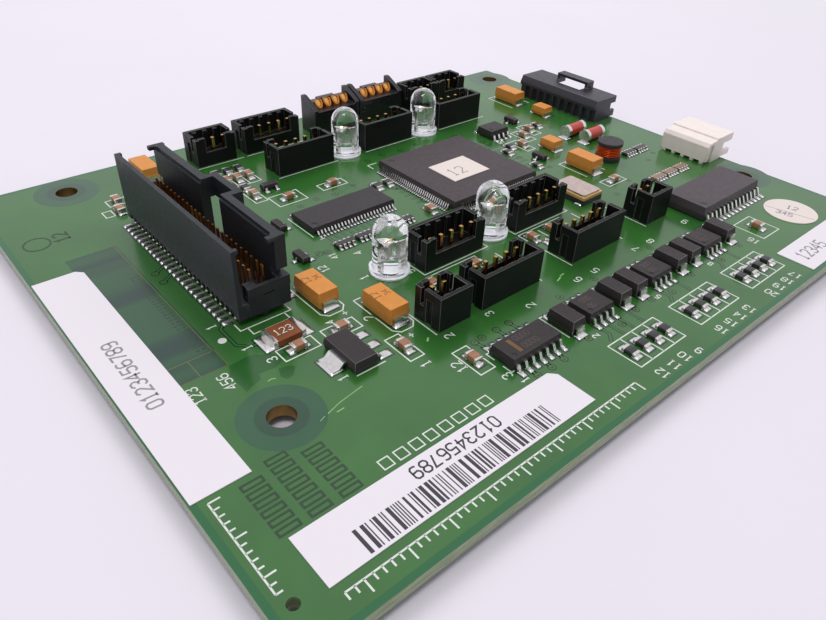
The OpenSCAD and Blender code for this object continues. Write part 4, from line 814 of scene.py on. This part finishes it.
# Lowest and highest point of the print on each surface.
LABEL_Z = (0.12, 0.128)
CHIP_LABEL_Z = (1.72, 1.728)
CHIP_Z = (1.7, 1.706)
CAPACITOR_Z = (2.6, 2.606)
FUSE_Z = (1.05, 1.056)
BAR_X, BAR_Y = (10.2, 36.3), (4.35, 7.35)
STICKER_LINE = ((104.3, 15.3), (106.2, 7.6))
bars, digits = Shape(), Shape()
chance = random.Random(11)
x = BAR_X[0]
while x < BAR_X[1]:
    thick = chance.choice((0.14, 0.14, 0.28, 0.42))
    bars.rect(x, BAR_Y[0], x + thick, BAR_Y[1], *LABEL_Z)
    x += thick + chance.choice((0.16, 0.16, 0.3, 0.44))
number(digits, "0123456789", 31.0, 9.6, 1.55, 180, 0.22, LABEL_Z)
bars.build("label_bars", PRINT_BLACK, "label_paper")
digits.build("label_digits", PRINT_BLACK, "label_paper")
ghost = Shape()
number(ghost, "0123456789", 4.3, 33.4, 1.75, 90, 0.26, LABEL_Z)
number(ghost, "12345", 92.4, 2.6, 1.9, 0, 0.26, LABEL_Z)
number(ghost, "12", 106.4, 12.6, 1.3, -76, 0.2, LABEL_Z)
number(ghost, "345", 103.4, 13.0, 1.2, -76, 0.2, LABEL_Z)
ghost.stroke(STICKER_LINE, 0.12, *LABEL_Z)
ghost.build("label_faint_digits", PRINT_GREY, "label_paper")
chip_digits = Shape()
number(chip_digits, "12", 66.6, 53.2, 2.4, 0, 0.22, CHIP_LABEL_Z)
chip_digits.build("chip_label_digits", PRINT_GREY, "label_paper")

marks = Shape()
number(marks, "0000", 41.2, 15.6, 0.85, 0, 0.1, CHIP_Z)
number(marks, "0000", 41.2, 14.0, 0.85, 0, 0.1, CHIP_Z)
bar = Shape()
bar.rect(40.1, 13.9, 40.7, 16.4, *CHIP_Z)
bar.build("laser_bar", LASER_BAR, "chip_mould")
for cx in (55.3, 69.12, 82.94):
    number(marks, "000", cx - 1.2, 15.5, 0.8, 0, 0.1, CHIP_Z)
    number(marks, "00", cx - 1.2, 14.1, 0.8, 0, 0.1, CHIP_Z)
marks.build("laser_marks", LASER_MARK, "chip_mould")
brown = Shape()
for cx, cy in ((28.7, 39.95), (33.8, 31.65)):
    number(brown, "12", cx - 0.45, cy + 0.1, 1.0, 90, 0.11, CAPACITOR_Z)
    number(brown, "34", cx + 1.0, cy + 0.1, 0.8, 90, 0.1, CAPACITOR_Z)
brown.build("capacitor_marks", PRINT_BROWN, "tantalum_yellow")
fuse_mark = Shape()
number(fuse_mark, "123", 19.5, 34.9, 1.1, 0, 0.12, FUSE_Z)
fuse_mark.build("fuse_marks", INK, "fuse_brown")


# ---------------------------------------------------------------- solder

WIDEST_PAD = 3.4
FILLET_TOP = 0.26

fillets, shaded_row_fillets = Shape(), Shape()
housing_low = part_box("tall_connector_housing")[0] / MM
lead_row = (housing_low.x + DATUM[0], housing_low.y + DATUM[1])
for low, high in pads:
    size = high - low
    narrow = min(size[0], size[1])
    if narrow > WIDEST_PAD or high[2] > 0.2:
        continue
    mid = (low + high) / 2
    height = min(FILLET_TOP, 0.32 * narrow)
    n = 4 if narrow < 0.4 else 8
    # Pads in the lead row beside the tall housing get low dark fillets: painted shade and dark reflection
    # from the housing wall; a bright mound at each outer tip keeps the plain solder.
    in_row = mid[0] < lead_row[0] and mid[1] > lead_row[1]
    kind = shaded_row_fillets if in_row else fillets
    kind.mound(mid[0], mid[1], size[0] / 2, size[1] / 2, high[2] - 0.01, height * (0.5 if in_row else 1), n)
    if in_row:
        fillets.mound(low[0] + 0.3, mid[1], 0.3, size[1] * 0.42, high[2], height, n)
fillets.build("solder_fillets", MATERIALS["solder"], "solder", smooth=60)
# Dark grey solder colour for the lead row: painted shade beside the tall housing.
shaded_row_fillets.build("lead_row_fillets", metal("solder_painted_shade", rgb(96, 94, 94), 0.35), "solder", smooth=60)


# ---------------------------------------------------------------- round socket cups

SCOOP_R = 0.54
SCOOP_Z = 4.35
SCOOP_T = 0.15
SCOOP_SLOPE = math.tan(math.radians(50))
scoops = Shape()
for low, high in islands("round_socket_contacts"):
    cx, cy = (low[0] + high[0]) / 2, (low[1] + high[1]) / 2
    outline = circle(cx, cy, SCOOP_R, 24)
    levels = [SCOOP_Z + (y - low[1]) * SCOOP_SLOPE for _, y in outline]
    top = [(x, y, min(z, high[2] - 0.1)) for (x, y), z in zip(outline, levels)]
    n = len(top)
    sides = [(i, (i + 1) % n, n + (i + 1) % n, n + i) for i in range(n)]
    ends = [tuple(range(n - 1, -1, -1)), tuple(range(n, 2 * n))]
    scoops.add([(x, y, z - SCOOP_T) for x, y, z in top] + top, ends + sides)
scoops.build("socket_scoops", metal("scoop_gold", rgb(226, 172, 98), 0.3, 0.004), "contact_gold")


# ---------------------------------------------------------------- lamps

LENS_PROFILE = [(0.0, 0.0), (2.86, 0.0), (2.94, 0.08), (2.94, 0.9), (2.84, 1.0), (2.56, 1.02), (2.49, 1.12)]
dome = [(2.49 * math.cos(a), 6.3 + 2.5 * math.sin(a)) for a in np.linspace(0, math.pi / 2, 20)]
LENS_PROFILE += [*dome[:-1], (0.0, 8.8)]
CUP_PROFILE = [(0.0, 4.6), (0.42, 4.6), (0.85, 5.45), (0.72, 5.45), (0.34, 4.95), (0.0, 4.95)]
# The pale base disc and flange ring inside each lens: partly the frosted underside of the epoxy, partly
# painted light standing in for the white surroundings seen refracted through the flange.
BASE_PROFILE = [(0.0, 0.04), (1.75, 0.04), (1.85, 0.12), (1.75, 0.26), (0.0, 0.3)]
FROST_AND_PAINTED_LIGHT = moulded("lamp_frost_painted_light", rgb(224, 222, 228), 0.35, 4.0, 0.004)
LAMPS = [(40.5, 39), (59.5, 37.8), (59.2, 75), (77.8, 74.4)]
CUP_SHIFT = 0.6
DIE_R, DIE_Z = 0.22, (4.95, 5.12)
WIRE_STEPS = 8
WIRE_SPAN = 1.5
WIRE_Z, WIRE_ARCH, WIRE_W = 5.05, 1.8, 0.08
for i, (lx, ly) in enumerate(LAMPS, 1):
    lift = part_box(f"lamp_lens_{i}")[0].z / MM
    lens = Shape()
    lens.lathe([(r, z + lift) for r, z in LENS_PROFILE], lx, ly, 64)
    lens = lens.build(f"lamp_dome_{i}", MATERIALS["clear_lens"], "clear_lens", smooth=50)
    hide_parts(f"lamp_lens_{i}")
    cup, die, base = Shape(), Shape(), Shape()
    cup_x = lx - CUP_SHIFT
    cup.lathe(CUP_PROFILE, cup_x, ly, 32)
    cup.build(f"lamp_cup_{i}", MATERIALS["lamp_metal"], "lamp_metal", smooth=40)
    die.disc(cup_x, ly, DIE_R, *DIE_Z)
    for k in range(WIRE_STEPS):
        steps = [u / WIRE_STEPS for u in (k, k + 1)]
        wire = [(cup_x + WIRE_SPAN * u, WIRE_Z + WIRE_ARCH * u * (1 - u)) for u in steps]
        half = WIRE_W / 2
        ends = [(x, ly + y, z + h) for x, z in wire for y in (-half, half) for h in (0, WIRE_W)]
        die.add(ends, [(0, 1, 3, 2), (4, 6, 7, 5), (0, 4, 5, 1), (2, 3, 7, 6), (0, 2, 6, 4), (1, 5, 7, 3)])
    die.build(f"lamp_die_{i}", MATERIALS["pin_plating"], "pin_plating")
    # Pale base and flange ring: frosted epoxy, brightened as painted light in the flange.
    base.lathe([(r, z + lift) for r, z in BASE_PROFILE], lx, ly, 48)
    base.ring(lx, ly, 2.1, 2.8, lift + 0.04, lift + 0.24, 48)
    base.build(f"lamp_base_{i}", FROST_AND_PAINTED_LIGHT, "clear_lens", smooth=40)


# ---------------------------------------------------------------- floor, light, camera

FLOOR_Z = CAD_BOX[0].z
FLOOR_FADE = (0.11, 0.38)
SKY = rgb(243, 241, 247)
FLOOR_REACH = 3.0
WORLD_LEVEL = 0.54


def direct_view(made_in):
    """1 for rays on which the background is seen directly, in a mirror or through glass."""
    rays = made_in.nodes.new("ShaderNodeLightPath").outputs
    seen = rays["Is Camera Ray"]
    for ray in ("Is Glossy Ray", "Is Transmission Ray"):
        either = made_in.nodes.new("ShaderNodeMath")
        either.operation = "MAXIMUM"
        made_in.links.new(seen, either.inputs[0])
        made_in.links.new(rays[ray], either.inputs[1])
        seen = either.outputs[0]
    return seen


floor_mesh = bpy.data.meshes.new("floor")
corners = [(-1, -1), (1, -1), (1, 1), (-1, 1)]
floor_mesh.from_pydata([(x * FLOOR_REACH, y * FLOOR_REACH, FLOOR_Z) for x, y in corners], [], [(0, 1, 2, 3)])
floor = bpy.data.objects.new("floor", floor_mesh)
bpy.context.scene.collection.objects.link(floor)
floor_look = Surface("floor_pale", rgb(228, 223, 232), 0.85)
floor_look.mottle(0.02, 0.015)
distance = floor_look.node("ShaderNodeVectorMath", operation="LENGTH")
floor_look.link(floor_look.coord, distance.inputs[0])
seen_far = floor_look.ramp(distance.outputs["Value"], *FLOOR_FADE)
glow = floor_look.node("ShaderNodeEmission")
glow.inputs["Color"].default_value = SKY
blend = floor_look.node("ShaderNodeMixShader")
floor_look.link(floor_look.math("MULTIPLY", seen_far, direct_view(floor_look.tree)), blend.inputs[0])
floor_look.link(floor_look.shader.outputs[0], blend.inputs[1])
floor_look.link(glow.outputs[0], blend.inputs[2])
floor_look.link(blend.outputs[0], floor_look.tree.nodes["Material Output"].inputs["Surface"])
floor_mesh.materials.append(floor_look.mat)

world_look = bpy.data.worlds.new("studio")
bpy.context.scene.world = world_look
world_look.use_nodes = True
tree = world_look.node_tree
background = tree.nodes["Background"]
background.inputs["Color"].default_value = SKY
level = tree.nodes.new("ShaderNodeMapRange")
level.inputs["To Min"].default_value = WORLD_LEVEL
level.inputs["To Max"].default_value = 1.0
tree.links.new(direct_view(tree), level.inputs["Value"])
tree.links.new(level.outputs["Result"], background.inputs["Strength"])


def softbox(name, location, size, power, glints=True):
    """A square area lamp aimed at the model's origin."""
    lamp = bpy.data.lights.new(name, "AREA")
    lamp.shape = "SQUARE"
    lamp.size = size
    lamp.energy = power
    obj = bpy.data.objects.new(name, lamp)
    obj.location = location
    obj.rotation_euler = (-Vector(location)).to_track_quat("-Z", "Y").to_euler()
    obj.visible_glossy = glints
    bpy.context.scene.collection.objects.link(obj)


softbox("key", (0.16, 0.24, 0.45), 0.3, 1.3, glints=False)
softbox("fill", (-0.14, -0.1, 0.5), 0.18, 0.9)

# Camera solved from the photo.
EYE = (-0.075358, -0.081034, 0.054327)
EYE_TURN = (0.932568, -0.037173, -0.711332)
LENS = 30.22
eye = bpy.data.cameras.new("camera")
eye.sensor_width = 36.0
eye.lens = LENS
eye.clip_start = 0.002
eye.clip_end = 20.0
camera = bpy.data.objects.new("camera", eye)
camera.location = EYE
camera.rotation_euler = EYE_TURN
bpy.context.scene.collection.objects.link(camera)
bpy.context.scene.camera = camera
bpy.context.scene.view_settings.view_transform = "Standard"
